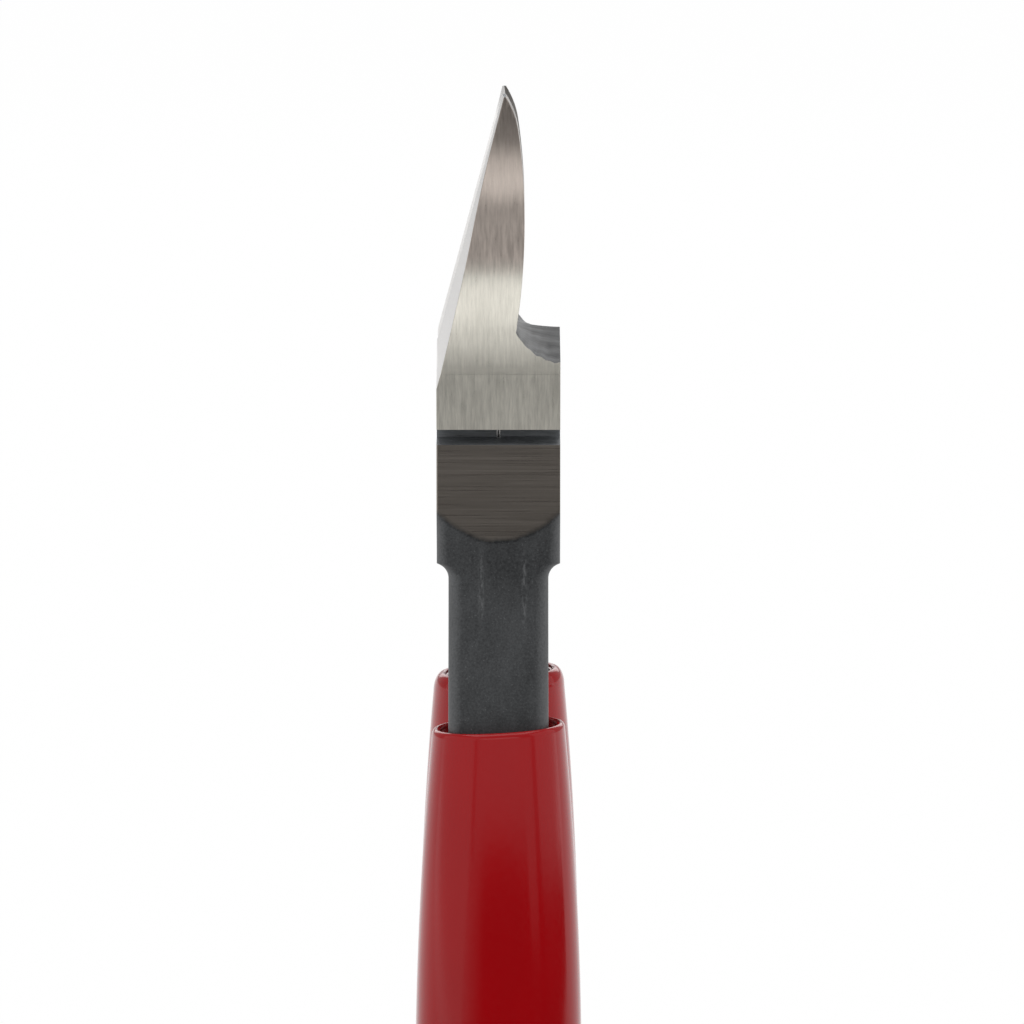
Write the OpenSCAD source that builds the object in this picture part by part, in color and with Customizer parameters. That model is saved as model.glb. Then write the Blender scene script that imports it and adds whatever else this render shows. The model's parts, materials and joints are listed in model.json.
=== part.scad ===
// Hand nipper for trimming moulding gates. Two forged levers cross in a lap joint on a slotted
// pivot screw, a coil spring between the shanks holds them open, and each tang wears a sleeve.
// The tool stands upright on its grip ends with the tip at the top. X is the pivot axis, with the
// flush side of the jaws at +X. Each lever is drawn shut about its pivot, then opened to rest.

/* [Pivot] */
// Height of the pivot axis above the grip ends
pivot_z = 123; // [112:0.5:135]
// Angle that each lever is open by at rest
rest_angle = 5.2; // [4.5:0.1:6]
// Radius of the screw shoulder that the front lever turns on
shoulder_r = 2.5; // [2.2:0.1:2.8]
// Radius of the threaded end of the screw
thread_r = 2; // [1.5:0.1:2.1]
// Radius of the flush screw head
screw_head_r = 4; // [3.4:0.1:4.6]
// Height of the flush screw head
screw_head_h = 1.8; // [1.2:0.1:2.4]
// Radius of the flush round nut
nut_r = 3.6; // [3:0.1:4.4]
// Height of the round nut
nut_h = 1.8; // [1.2:0.1:2.4]
// Width of the driver slots in screw and nut
slot_w = 0.9; // [0.6:0.1:1.2]
// Depth of the driver slots
slot_d = 0.8; // [0.5:0.1:1]

/* [Head] */
// Thickness of the head along the pivot axis
head_t = 10; // [9:0.1:12]
// Half the width of the shut head
head_half_w = 8.8; // [8.2:0.1:10]
// Radius of the half-thickness discs of the lap joint
disc_r = 6; // [5.4:0.1:6.2]
// Angle from the head's middle line to each shoulder of the notch
notch_angle = 9.2; // [8:0.1:10]
// Drop from the pivot to the step below the head
head_drop = 11.2; // [10:0.1:12]
// Radius of the fillet between head and shank
step_fillet = 1.2; // [0.8:0.1:1.4]
// Radius of the rounded outer face of the forging
forge_r = 15; // [12:0.5:24]
// Slope at which the forging falls away below the ground flat
forge_slope = 20; // [14:1:26]
// Drop from the pivot to the lower end of the ground flat
flat_drop = 8.4; // [7:0.1:9.5]

/* [Jaws] */
// Length of the jaws above the pivot
jaw_len = 27.2; // [25.6:0.1:30]
// Height at which the back of the jaw leaves the head's side
back_start = 4; // [3:0.1:5]
// Length of the wave that the back of the jaw follows
back_run = 25; // [24:0.5:30]
// Half width of the shut jaws at the tip
tip_half_w = 0.6; // [0.4:0.05:1.2]
// Place of the crest of the bowed flush face along the pivot axis
crest_x = 2.12; // [1.6:0.02:2.6]
// Height of that crest
crest_z = 17.5; // [15:0.5:19]
// Radius of the bow of the flush face
bow_r = 48; // [42:1:80]
// Height at which the flush face turns in to the tip
nose_start = 24.6; // [22:0.1:25]
// Radius of that turn
nose_r = 6.4; // [5:0.2:16]
// Height of the shelf beside the flush face
shelf_z = 6.8; // [6.6:0.1:8]
// Radius of the fillet between shelf and flush face
shelf_fillet = 3; // [1.5:0.1:3]
// Slope of the ground face opposite the flush face
grind_slope = 15.4; // [14:0.1:17]
// Turn of that ground face towards the back of the jaw
grind_tilt = 5.9; // [3:0.1:8]
// Place of the ground face at the tip
grind_tip_x = 0.3; // [0:0.05:0.4]
// Angle of the cutting wedge, from the flush face to the inner bevel
wedge_angle = 70; // [66:1:76]
// Height of the bottom of the bevelled hollow
throat_z = 7.4; // [7:0.1:9]

/* [Shanks and tangs] */
// Half thickness of shank and tang along the pivot axis
shank_half_t = 4.05; // [3.6:0.05:4.4]
// Half thickness of the tang at its end
tang_end_half_t = 3.3; // [2.8:0.1:3.6]
// Drop from the pivot to the narrow neck
neck_drop = 12; // [11:0.1:13]
// Distance of the neck's middle from the shut middle line
neck_y = 5.3; // [4.9:0.1:5.6]
// Half depth of the neck
neck_half_d = 3.1; // [2.6:0.05:3.3]
// Drop from the pivot to where the shank has its full depth
shank_drop = 25; // [23:0.5:27]
// Distance of the shank's middle from the shut middle line there
shank_y = 7.9; // [7.4:0.1:8.6]
// Half depth of the shank there
shank_half_d = 3.6; // [3.2:0.1:3.8]
// Half depth of the tang at its end
tang_end_half_d = 2.7; // [2.2:0.1:3]
// Lean of the tang away from the shut middle line
tang_lean = 2; // [1:0.1:3]
// Length of solid sleeve below the tang's end
tang_end_up = 6; // [4:0.5:12]

/* [Grips] */
// Drop from the pivot to the sleeve's rim
rim_drop = 24.3; // [23:0.1:27]
// Half thickness of the sleeve at its rim
rim_half_t = 5.36; // [5.1:0.02:5.7]
// Half depth of the sleeve at its rim
rim_half_d = 5.2; // [4.9:0.1:5.6]
// Full half thickness of the sleeve
grip_half_t = 6.78; // [6.2:0.02:7.4]
// Full half depth of the sleeve
grip_half_d = 6.5; // [6:0.1:6.8]
// Length over which the sleeve swells from its rim
flare_len = 30; // [20:1:40]
// Wall of the sleeve at its rim
rim_wall = 0.6; // [0.5:0.05:0.7]
// Length of the flared mouth
mouth_len = 7; // [4:0.5:12]
// Radius of the rounded lower edge of the sleeve
end_round = 2.4; // [1.5:0.1:3]
// Cant of the rim towards the outside
rim_cant = 2; // [0:0.5:4]

/* [Return spring] */
// Drop from the pivot to the spring's axis
spring_drop = 17; // [16:0.1:18]
// Radius to the middle of the wire
coil_r = 1.85; // [1.6:0.05:1.95]
// Diameter of the wire
wire_d = 0.7; // [0.5:0.05:0.8]
// Number of turns
turns = 7; // [5:1:8]
// Depth of the blind seats in the shanks
seat_depth = 2; // [1.4:0.1:2.4]

/* [Clearances] */
// Gap between the two lap faces
lap_gap = 0.06; // [0.04:0.01:0.1]
// Gap between each disc and the recess that it turns in
disc_gap = 0.3; // [0.2:0.05:0.4]
// Gap between the two cutting edges of the shut jaws
edge_gap = 0.06; // [0.04:0.01:0.1]
// Half the gap between the shut levers below the pivot
crotch_gap = 0.6; // [0.4:0.1:1]
// Radial running fit of the front lever on the screw shoulder
pivot_fit = 0.03; // [0.02:0.01:0.06]
// Gap round the screw head and the nut
sink_gap = 0.1; // [0.05:0.01:0.15]
// Gap between tang and sleeve
sleeve_gap = 0.25; // [0.15:0.05:0.35]
// Gap between the spring's ends and the floors of its seats
spring_gap = 0.05; // [0.02:0.01:0.1]
// Gap between the coil and the wall of its seat
seat_gap = 0.3; // [0.2:0.05:0.4]

/* [Hidden] */
$fn = 72;
half_t = head_t / 2;
recess_r = disc_r + disc_gap;
// Room that a cutter is given beyond what it cuts
over = 1;
// Reach of a cutter that passes right through the head
reach = 4 * head_half_w + jaw_len;
curve_steps = 20;
fillet_steps = 8;
section_sides = 24;
// Roundness of the forged and the moulded sections, where 1 is an ellipse and 0 a rectangle
forge_squareness = 0.55;
grip_squareness = 0.78;
// Depth at which the shank starts inside the head, clear of the recess
shank_root = (recess_r + head_drop) / 2;
steel = "silver";
black = "dimgray";
red = "firebrick";

function ease(t) = let (u = min(1, max(0, t))) u * u * (3 - 2 * u);
function mix(a, b, t) = a + (b - a) * t;
function power(v, p) = sign(v) * pow(abs(v), p);

// Flush face of the jaw: distance along the pivot axis at height z above the pivot
function flush_x(z) = crest_x - pow(z - crest_z, 2) / (2 * bow_r)
    - pow(max(0, z - nose_start), 2) / (2 * nose_r);
// Back of the jaw: distance from the shut middle line at height z above the pivot
function back_wave(z) = (1 - cos(180 * (z - back_start) / back_run)) / 2;
function back_y(z) = mix(head_half_w, tip_half_w, back_wave(z) / back_wave(jaw_len));

// Middle and half sizes of shank and tang at drop s below the pivot
tang_end_drop = pivot_z - tang_end_up;
function shank_share(s) = ease((s - neck_drop) / (shank_drop - neck_drop));
function tang_share(s) = max(0, s - shank_drop) / (tang_end_drop - shank_drop);
function mid_y(s) = mix(neck_y, shank_y, shank_share(s)) + max(0, s - shank_drop) * tan(tang_lean);
function half_d(s) = s < shank_drop ? mix(neck_half_d, shank_half_d, shank_share(s))
    : mix(shank_half_d, tang_end_half_d, tang_share(s));
function half_x(s) = mix(shank_half_t, tang_end_half_t, tang_share(s));

// One closed section of a swept form: a rounded rectangle about (0, y) as [x, y] points
function section(hx, hy, y, squareness) = [for (i = [0:section_sides - 1])
    let (a = 360 * i / section_sides)
    [hx * power(cos(a), squareness), y + hy * power(sin(a), squareness)]];

// Closed skin over a stack of rings of equal count, with a flat fan over each end ring
module skin(rings) {
    n = len(rings[0]);
    last = len(rings) - 1;
    points = [for (ring = rings) each ring];
    sides = [for (r = [0:last - 1], i = [0:n - 1])
        let (a = r * n + i, b = r * n + (i + 1) % n)
        each [[a, b, b + n], [a, b + n, a + n]]];
    first_cap = [for (i = [1:n - 2]) [0, i + 1, i]];
    last_cap = [for (i = [1:n - 2]) [last * n, last * n + i, last * n + i + 1]];
    polyhedron(points, concat(sides, first_cap, last_cap), convexity = 6);
}

// Solids along X from a [y, z] outline, and along Y from an [x, z] outline
module along_x(outline, width) {
    rotate([90, 0, 90]) linear_extrude(width, center = true) polygon(outline);
}
module along_y(outline, width) {
    rotate([90, 0, 0]) linear_extrude(width, center = true) polygon(outline);
}
// Cylinder along X between two places
module bar_x(r, x0, x1) {
    translate([x0, 0, 0]) rotate([0, 90, 0]) cylinder(r = r, h = x1 - x0);
}

// Full-thickness jaw on the -Y side
module jaw() {
    bevel_turn = 90 - wedge_angle;
    front = concat(
        [[-edge_gap / 2, 0], [-head_half_w, head_half_w * tan(notch_angle)]],
        [for (i = [0:curve_steps]) let (z = mix(back_start, jaw_len, i / curve_steps)) [-back_y(z), z]],
        [[-edge_gap / 2, jaw_len]]);
    fillet_z = shelf_z + shelf_fillet;
    fillet_x = flush_x(fillet_z) + shelf_fillet;
    side = concat(
        [[-half_t, -over], [half_t, -over], [half_t, shelf_z]],
        [for (i = [0:fillet_steps]) let (a = 270 - 90 * i / fillet_steps)
            [fillet_x + shelf_fillet * cos(a), fillet_z + shelf_fillet * sin(a)]],
        [for (i = [1:curve_steps]) let (z = mix(fillet_z, jaw_len, i / curve_steps)) [flush_x(z), z]],
        [[-half_t, jaw_len]]);
    bevel = concat(
        [[-reach, throat_z], [flush_x(throat_z) * sin(bevel_turn), throat_z]],
        [for (i = [1:curve_steps]) let (z = mix(throat_z, jaw_len + over, i / curve_steps))
            [flush_x(z) * sin(bevel_turn), z]],
        [[-reach, jaw_len + over]]);
    difference() {
        intersection() {
            along_x(front, head_t);
            along_y(side, reach);
        }
        translate([grind_tip_x, 0, jaw_len]) rotate([0, grind_slope, grind_tilt])
            translate([-reach, -reach / 2, -reach]) cube([reach, reach, 2 * reach]);
        translate([0, -edge_gap / 2, 0]) rotate([0, 0, -wedge_angle]) along_y(bevel, 2 * reach);
    }
}

// Full-thickness shoulder of the handle on the +Y side, down to the fillets of the step
module shoulder() {
    end_z = -head_drop - step_fillet;
    front = [[crotch_gap, 0], [head_half_w, -head_half_w * tan(notch_angle)], [head_half_w, end_z],
        [neck_y - neck_half_d, end_z], [crotch_gap, -shank_root]];
    step_x = shank_half_t + step_fillet;
    right = [for (i = [0:fillet_steps]) let (a = 90 + 90 * i / fillet_steps)
        [min(half_t, step_x + step_fillet * cos(a)), end_z + step_fillet * sin(a)]];
    left = [for (i = [fillet_steps:-1:0]) [-right[i].x, right[i].y]];
    side = concat([[-half_t, over], [half_t, over]], [[half_t, -head_drop]], right, left,
        [[-half_t, -head_drop]]);
    intersection() {
        along_x(front, head_t);
        along_y(side, reach);
        translate([0, head_half_w, -flat_drop]) rotate([-forge_slope, 0, 0])
            translate([0, -forge_r, -reach / 2]) cylinder(r = forge_r, h = reach);
    }
}

// Forged shank and tang on the +Y side, swept down from inside the shoulder
module shank() {
    upper = [for (i = [0:8]) mix(shank_root, shank_drop, i / 8)];
    lower = [for (i = [1:6]) mix(shank_drop, tang_end_drop, i / 6)];
    skin([for (s = concat(upper, lower))
        [for (p = section(half_x(s), half_d(s), mid_y(s), forge_squareness)) [p.x, p.y, -s]]]);
}

// One lever at rest, jaw at -Y and handle at +Y, with its disc on the given side of the lap
module lever(side, bore_r, sink_r, sink_h) {
    x_lap = side * lap_gap / 2;
    disc_x = side > 0 ? [x_lap, half_t] : [-half_t, x_lap];
    cut_x = side > 0 ? [-half_t - over, x_lap] : [x_lap, half_t + over];
    sink_x = side > 0 ? [half_t - sink_h, half_t + over] : [-half_t - over, -half_t + sink_h];
    difference() {
        translate([0, 0, pivot_z]) rotate([rest_angle, 0, 0]) difference() {
            union() {
                jaw();
                shoulder();
                shank();
                bar_x(disc_r, disc_x[0], disc_x[1]);
            }
            bar_x(recess_r, cut_x[0], cut_x[1]);
            bar_x(bore_r, -half_t - over, half_t + over);
            bar_x(sink_r, sink_x[0], sink_x[1]);
        }
        translate([0, 0, pivot_z - spring_drop]) rotate([90, 0, 0])
            translate([0, 0, -seat_y]) cylinder(r = coil_r + wire_d / 2 + seat_gap, h = seat_y);
    }
}

// Distance from the middle plane to the floor of a spring seat at rest
seat_y = (mid_y(spring_drop) - half_d(spring_drop)) * cos(rest_angle)
    + spring_drop * sin(rest_angle) + seat_depth;

// One sleeve at rest on the +Y tang: a closed cup, drawn from its foot up, over the rim and down inside
module sleeve() {
    foot_drop = pivot_z / cos(rest_angle);
    function swell(s) = let (u = min(1, max(0, (s - rim_drop) / flare_len))) 1 - (1 - u) * (1 - u);
    function drawn_in(s) = let (d = max(0, s - (foot_drop - end_round)))
        end_round - sqrt(max(0, end_round * end_round - d * d));
    function outer_x(s) = mix(rim_half_t, grip_half_t, swell(s)) - drawn_in(s);
    function outer_d(s) = mix(rim_half_d, grip_half_d, swell(s)) - drawn_in(s);
    function mouth(s) = pow(max(0, 1 - (s - rim_drop) / mouth_len), 2);
    function inner_x(s) = mix(half_x(s) + sleeve_gap, rim_half_t - rim_wall, mouth(s));
    function inner_d(s) = mix(half_d(s) + sleeve_gap, rim_half_d - rim_wall, mouth(s));
    // Level of a point: the rim is canted, and the foot is flat on the ground at rest
    function level(s, y) = let (u = (s - rim_drop) / (foot_drop - rim_drop))
        -mix(rim_drop + (y - mid_y(rim_drop)) * tan(rim_cant),
             (pivot_z + y * sin(rest_angle)) / cos(rest_angle), u);
    function ring(s, hx, hd, squareness) = [for (p = section(hx, hd, mid_y(s), squareness))
        [p.x, p.y, level(s, p.y)]];
    foot = [for (i = [0:5]) foot_drop - end_round * (1 - cos(90 * i / 5))];
    body = [for (i = [1:6]) mix(foot_drop - end_round, rim_drop + flare_len, i / 6)];
    swelling = [for (i = [1:8]) mix(rim_drop + flare_len, rim_drop, i / 8)];
    flared = [for (i = [0:4]) mix(rim_drop, rim_drop + mouth_len, i / 4)];
    bore = [for (i = [1:6]) mix(rim_drop + mouth_len, tang_end_drop + sleeve_gap, i / 6)];
    translate([0, 0, pivot_z]) rotate([rest_angle, 0, 0]) skin(concat(
        [for (s = concat(foot, body, swelling)) ring(s, outer_x(s), outer_d(s), grip_squareness)],
        [for (s = concat(flared, bore)) ring(s, inner_x(s), inner_d(s), forge_squareness)]));
}

// Path of the spring wire along Y: a straight end, the turns, and a straight end
spring_half = seat_y - spring_gap;
coil_half = spring_half - wire_d;
spring_steps = 8;
spring_path = concat(
    [[coil_r, -spring_half, 0]],
    [for (i = [0:turns * spring_steps]) let (a = 360 * i / spring_steps)
        [coil_r * cos(a), mix(-coil_half, coil_half, i / (turns * spring_steps)), coil_r * sin(a)]],
    [[coil_r, spring_half, 0]]);
// Least clear gap between points at least half a turn apart
wire_gap = min([for (i = [0:len(spring_path) - 1], j = [i + spring_steps / 2:1:len(spring_path) - 1])
    norm(spring_path[i] - spring_path[j])]) - wire_d;
echo(least_spring_gap = wire_gap);

module front_lever() {
    color(black) mirror([0, 1, 0])
        lever(1, shoulder_r + pivot_fit, screw_head_r + sink_gap, screw_head_h + sink_gap);
}

module rear_lever() {
    color(black) lever(-1, thread_r + pivot_fit, nut_r + sink_gap, nut_h);
}

// Flush slotted head at +X, plain shoulder, and threaded end flush with the nut at -X
module pivot_screw() {
    color(steel) translate([0, 0, pivot_z]) difference() {
        union() {
            bar_x(screw_head_r, half_t - screw_head_h, half_t);
            bar_x(shoulder_r, -lap_gap / 2, half_t - screw_head_h + over / 2);
            bar_x(thread_r, -half_t, over);
        }
        translate([half_t - slot_d, -reach / 2, -slot_w / 2]) cube([slot_d + over, reach, slot_w]);
    }
}

// Round nut flush in the -X cheek, notched on both sides of the screw's end
module pivot_nut() {
    color(steel) translate([0, 0, pivot_z]) difference() {
        bar_x(nut_r, -half_t, nut_h - half_t);
        bar_x(thread_r + pivot_fit, -half_t - over, half_t);
        translate([-half_t - over, -reach / 2, -slot_w / 2]) cube([slot_d + over, reach, slot_w]);
    }
}

module return_spring() {
    wire_sides = 6;
    last = len(spring_path) - 1;
    // Straight ends lie along Y, and the turns keep their sections square to the climbing wire
    climb = atan2(2 * coil_half / turns, 360 * coil_r * PI / 180);
    rings = [for (i = [0:last]) let (
        a = 360 * (min(last - 1, max(1, i)) - 1) / spring_steps,
        out = [cos(a), 0, sin(a)],
        across = (i == 0 || i == last) ? [sin(a), 0, -cos(a)]
            : [sin(a) * sin(climb), cos(climb), -cos(a) * sin(climb)])
        [for (k = [0:wire_sides - 1]) let (b = 360 * k / wire_sides)
            spring_path[i] + wire_d / 2 * (cos(b) * out + sin(b) * across)]];
    color(steel) translate([0, 0, pivot_z - spring_drop]) skin(rings);
}

module front_grip() {
    color(red) mirror([0, 1, 0]) sleeve();
}

module rear_grip() {
    color(red) sleeve();
}

front_lever();
rear_lever();
pivot_screw();
pivot_nut();
return_spring();
front_grip();
rear_grip();
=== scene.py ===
"""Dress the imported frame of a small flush-cutting hand nipper.

The nipper stands on the feet of its two grips with its jaws up. The hinge axis runs along X, the
rear half reaches to +Y below the hinge and the front half to -Y. Lever shapes are worked out in
millimetres in the closed frame of the rear lever: hinge at the origin, jaw on the -Y side, handle
on the +Y side. Side places them in the standing tool, in metres.
"""

import json
import logging
import math
from abc import ABC, abstractmethod
from dataclasses import dataclass, field
from enum import Enum, IntEnum
from typing import Any

import bmesh
import bpy
import numpy as np
from mathutils import Matrix, Vector


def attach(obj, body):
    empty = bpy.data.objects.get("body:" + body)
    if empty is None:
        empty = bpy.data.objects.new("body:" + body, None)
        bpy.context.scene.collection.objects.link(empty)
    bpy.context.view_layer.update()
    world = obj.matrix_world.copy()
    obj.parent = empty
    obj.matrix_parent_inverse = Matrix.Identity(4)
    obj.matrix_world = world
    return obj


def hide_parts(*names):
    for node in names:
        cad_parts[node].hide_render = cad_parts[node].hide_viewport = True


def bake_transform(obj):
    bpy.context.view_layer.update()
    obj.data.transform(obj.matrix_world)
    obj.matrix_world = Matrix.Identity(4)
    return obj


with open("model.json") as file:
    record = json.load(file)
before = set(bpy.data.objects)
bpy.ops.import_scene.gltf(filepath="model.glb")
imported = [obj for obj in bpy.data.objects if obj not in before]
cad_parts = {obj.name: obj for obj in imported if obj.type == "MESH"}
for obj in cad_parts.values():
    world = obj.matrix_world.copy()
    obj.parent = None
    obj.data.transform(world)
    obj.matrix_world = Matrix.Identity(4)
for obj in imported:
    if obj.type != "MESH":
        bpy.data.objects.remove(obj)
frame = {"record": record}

LOG = logging.getLogger("nipper")
MM = 0.001

# Lengths are in millimetres and angles in degrees; a name that ends in _M is in metres.
PIVOT_Z = frame["record"]["behaviour"]["joints"][0]["pos_m"][2] / MM
REST_ANGLE = 5.2
HEAD_HALF_T = 5.0
FLAT_DROP = 9.2
SPRING_DROP = 17.0
NOISE_SPAN = (0.3, 0.7)
SOFT_CREASE = 50.0
WELD_M = 2e-7
SLIVER_M = 1e-8
TINY = 1e-9

Color = tuple[float, float, float, float]
Shades = tuple[Color, Color]
Span = tuple[float, float]
Triple = tuple[float, float, float]
Number = float | np.ndarray
Socket = bpy.types.NodeSocket
Inputs = dict[str | int, Any]


class Side(Enum):
    """Which half of the tool a lever or grip belongs to; the value is the sign of its handle in Y."""

    REAR = 1
    FRONT = -1

    @property
    def half(self) -> str:
        """Name of the body that moves with this half."""
        return "rear_half" if self is Side.REAR else "front_half"

    @property
    def label(self) -> str:
        """Word that starts the names of this half's nodes."""
        return self.name.lower()

    def to_rest(self, points: np.ndarray) -> np.ndarray:
        """Open the closed frame to the rest angle and stand it up.

        Args:
            points: Array of closed-frame points in millimetres, last axis x, y, z.

        Returns:
            The points of the standing tool in metres.
        """
        a = math.radians(REST_ANGLE)
        x, y, z = np.moveaxis(np.asarray(points, float), -1, 0)
        across = (y * math.cos(a) - z * math.sin(a)) * self.value
        up = y * math.sin(a) + z * math.cos(a) + PIVOT_Z
        return np.stack([x, across, up], -1) * MM


class Zone(IntEnum):
    """Material slots of a lever, one for each way its steel is worked."""

    BACK = 0
    GROUND = 1
    SHELF = 2
    CHEEK = 3
    SHOULDER = 4
    LAP = 5
    EDGE = 6


class Tint(Enum):
    """Cast of the painted bands on the jaw's back: partly the warm tone of ground steel, partly the tone of
    painted reflections; the value is its share of red, green and blue.
    """

    PALE = (0.985, 1.0, 0.94)
    STRAW = (1.0, 0.92, 0.87)


@dataclass(frozen=True)
class Temper:
    """Painted band of light and shade on the jaw's back at one height above the hinge, as a share of the bare
    steel's tone.
    """

    height: float
    level: float
    tint: Tint

    @property
    def color(self) -> Color:
        """Colour that the bare steel is multiplied by."""
        red, green, blue = (self.level * share for share in self.tint.value)
        return (red, green, blue, 1.0)


# Painted highlights and painted shade in bands up the jaw's back, from the crease to the tip, in place of the
# bright and dark reflections there.
JAW_PAINTED_BANDS = (
    Temper(5.5, 1.0, Tint.PALE),
    Temper(6.0, 1.08, Tint.PALE),
    Temper(6.6, 0.82, Tint.PALE),
    Temper(8.1, 0.705, Tint.PALE),
    Temper(11.0, 0.865, Tint.PALE),
    Temper(13.4, 0.89, Tint.PALE),
    Temper(15.0, 0.84, Tint.STRAW),
    Temper(17.4, 0.84, Tint.STRAW),
    Temper(18.8, 0.69, Tint.STRAW),
    Temper(21.5, 0.555, Tint.STRAW),
    Temper(22.4, 0.57, Tint.STRAW),
    Temper(24.3, 0.42, Tint.STRAW),
    Temper(27.2, 0.49, Tint.STRAW),
)


def grey(level: float, warm: float = 0.0) -> Color:
    """Give a neutral colour.

    Args:
        level: Linear brightness.
        warm: Share taken from blue, and half of it from green.

    Returns:
        The colour.
    """
    return (level, level * (1 - warm / 2), level * (1 - warm), 1.0)


@dataclass(frozen=True)
class Grain:
    """A stretched noise: cells in a millimetre along x, y and z, octaves, and what each octave keeps."""

    per_mm: Triple
    detail: float = 3.0
    rough: float = 0.55


class Bench:
    """A node tree while it is put together."""

    def __init__(self, tree: bpy.types.NodeTree) -> None:
        """Take up a tree."""
        self.tree = tree

    def fill(self, node: bpy.types.Node, inputs: Inputs) -> None:
        """Set a node's inputs.

        Args:
            node: The node.
            inputs: Values, or sockets to link, by input name or number.
        """
        for name, value in inputs.items():
            if isinstance(value, Socket):
                self.tree.links.new(value, node.inputs[name])
            else:
                node.inputs[name].default_value = value

    def node(self, kind: str, inputs: Inputs | None = None, **settings: Any) -> bpy.types.Node:
        """Add a node.

        Args:
            kind: Blender's type name of the node.
            inputs: Values, or sockets to link, by input name or number.
            settings: Properties of the node.

        Returns:
            The new node.
        """
        made = self.tree.nodes.new(kind)
        for name, value in settings.items():
            setattr(made, name, value)
        self.fill(made, inputs or {})
        return made

    def math(self, operation: str, a: Socket | float, b: Socket | float = 0.0) -> Socket:
        """Combine two numbers by Blender's name of an operation."""
        return self.node("ShaderNodeMath", {0: a, 1: b}, operation=operation).outputs[0]


class Shader(Bench):
    """A procedural material while its nodes are put together."""

    def __init__(self, name: str, side: Side | None = None, origin: float = PIVOT_Z) -> None:
        """Start a material on Object coordinates.

        Args:
            name: Name of the material, which the side's label follows.
            side: Half whose closed frame the patterns follow, or None for the frame at rest.
            origin: Height in millimetres of the patterns' origin.
        """
        self.material = bpy.data.materials.new(f"{name}_{side.label}" if side else name)
        self.material.use_nodes = True
        super().__init__(self.material.node_tree)
        self.surface = self.tree.nodes["Principled BSDF"]
        lean = math.radians(REST_ANGLE) * side.value if side else 0.0
        inputs = {"Location": (0, 0, origin * MM), "Rotation": (lean, 0, 0)}
        inputs["Vector"] = self.node("ShaderNodeTexCoord").outputs["Object"]
        self.place = self.node("ShaderNodeMapping", inputs, vector_type="TEXTURE").outputs[0]

    def axes(self) -> tuple[Socket, ...]:
        """Sockets of the place along x, y and z, in metres."""
        return tuple(self.node("ShaderNodeSeparateXYZ", {0: self.place}).outputs)

    def noise(self, grain: Grain) -> Socket:
        """Add stretched noise.

        Args:
            grain: Size and detail of the noise.

        Returns:
            Socket of the noise, about 0.25 to 0.75.
        """
        scale = [cells / MM for cells in grain.per_mm]
        inputs = {"Scale": 1.0, "Detail": grain.detail, "Roughness": grain.rough}
        inputs["Vector"] = self.node("ShaderNodeMapping", {"Vector": self.place, "Scale": scale}).outputs[0]
        return self.node("ShaderNodeTexNoise", inputs).outputs["Fac"]

    def spread(self, value: Socket, to: Span = (0.0, 1.0), within: Span = NOISE_SPAN) -> Socket:
        """Map a value to a range and hold it there.

        Args:
            value: Socket to map.
            to: Results at the two ends.
            within: Values that give these results.

        Returns:
            Socket of the result.
        """
        ends = {"From Min": within[0], "From Max": within[1], "To Min": to[0], "To Max": to[1]}
        return self.node("ShaderNodeMapRange", {"Value": value, **ends}).outputs[0]

    def blend(self, a: Socket, b: Socket, share: float) -> Socket:
        """Add two noises, the first by a share and the second by the rest."""
        return self.math("ADD", self.math("MULTIPLY", a, share), self.math("MULTIPLY", b, 1 - share))

    def between(self, share: Socket, a: Socket, b: Socket) -> Socket:
        """Give the number a share of the way from a to b."""
        return self.node("ShaderNodeMix", {0: share, 2: a, 3: b}).outputs[0]

    def mix(self, share: Socket | float, a: Socket | Color, b: Socket | Color, how: str = "MIX") -> Socket:
        """Blend two colours.

        Args:
            share: Share of the second colour.
            a: First colour.
            b: Second colour.
            how: Blender's name of the way they blend.

        Returns:
            Socket of the blended colour.
        """
        return self.node("ShaderNodeMix", {0: share, 6: a, 7: b}, data_type="RGBA", blend_type=how).outputs[2]

    def shades(self, value: Socket, colors: Shades, within: Span = NOISE_SPAN) -> Socket:
        """Colour that runs with a noise from the first colour to the second."""
        return self.mix(self.spread(value, within=within), *colors)

    def ramp(self, value: Socket, stops: tuple[Temper, ...]) -> Socket:
        """Look a colour up along a row of stops.

        Args:
            value: Socket of the height to look up.
            stops: Tones by height, in rising order.

        Returns:
            Socket of the colour.
        """
        first, last = stops[0].height, stops[-1].height
        made = self.node("ShaderNodeValToRGB", {0: self.spread(value, within=(first, last))})
        row = made.color_ramp.elements
        for stop in stops[1:-1]:
            row.new((stop.height - first) / (last - first)).color = stop.color
        row[0].color, row[-1].color = stops[0].color, stops[-1].color
        return made.outputs["Color"]

    def bump(self, height: Socket, depth: float, under: Socket | None = None) -> Socket:
        """Add relief.

        Args:
            height: Socket of the height.
            depth: Height in millimetres of one unit.
            under: Normal that the relief is laid on.

        Returns:
            Socket of the normal.
        """
        inputs: Inputs = {"Height": height, "Distance": depth * MM, "Strength": 1.0}
        if under:
            inputs["Normal"] = under
        return self.node("ShaderNodeBump", inputs).outputs[0]

    def across(self) -> Socket:
        """Level direction in the surface, which highlights on upright grinding lines spread along."""
        inputs = {0: self.node("ShaderNodeNewGeometry").outputs["Normal"], 1: (0, 0, 1)}
        return self.node("ShaderNodeVectorMath", inputs, operation="CROSS_PRODUCT").outputs[0]

    def set(self, **inputs: Any) -> None:
        """Set or link the surface's sockets, named with underscores for spaces."""
        self.fill(self.surface, {name.replace("_", " "): value for name, value in inputs.items()})

    def set_matte(self, color: Socket | Color) -> None:
        """Give the surface a dull colour."""
        self.set(Base_Color=color, Roughness=0.9, Specular_IOR_Level=0.0)


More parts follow.
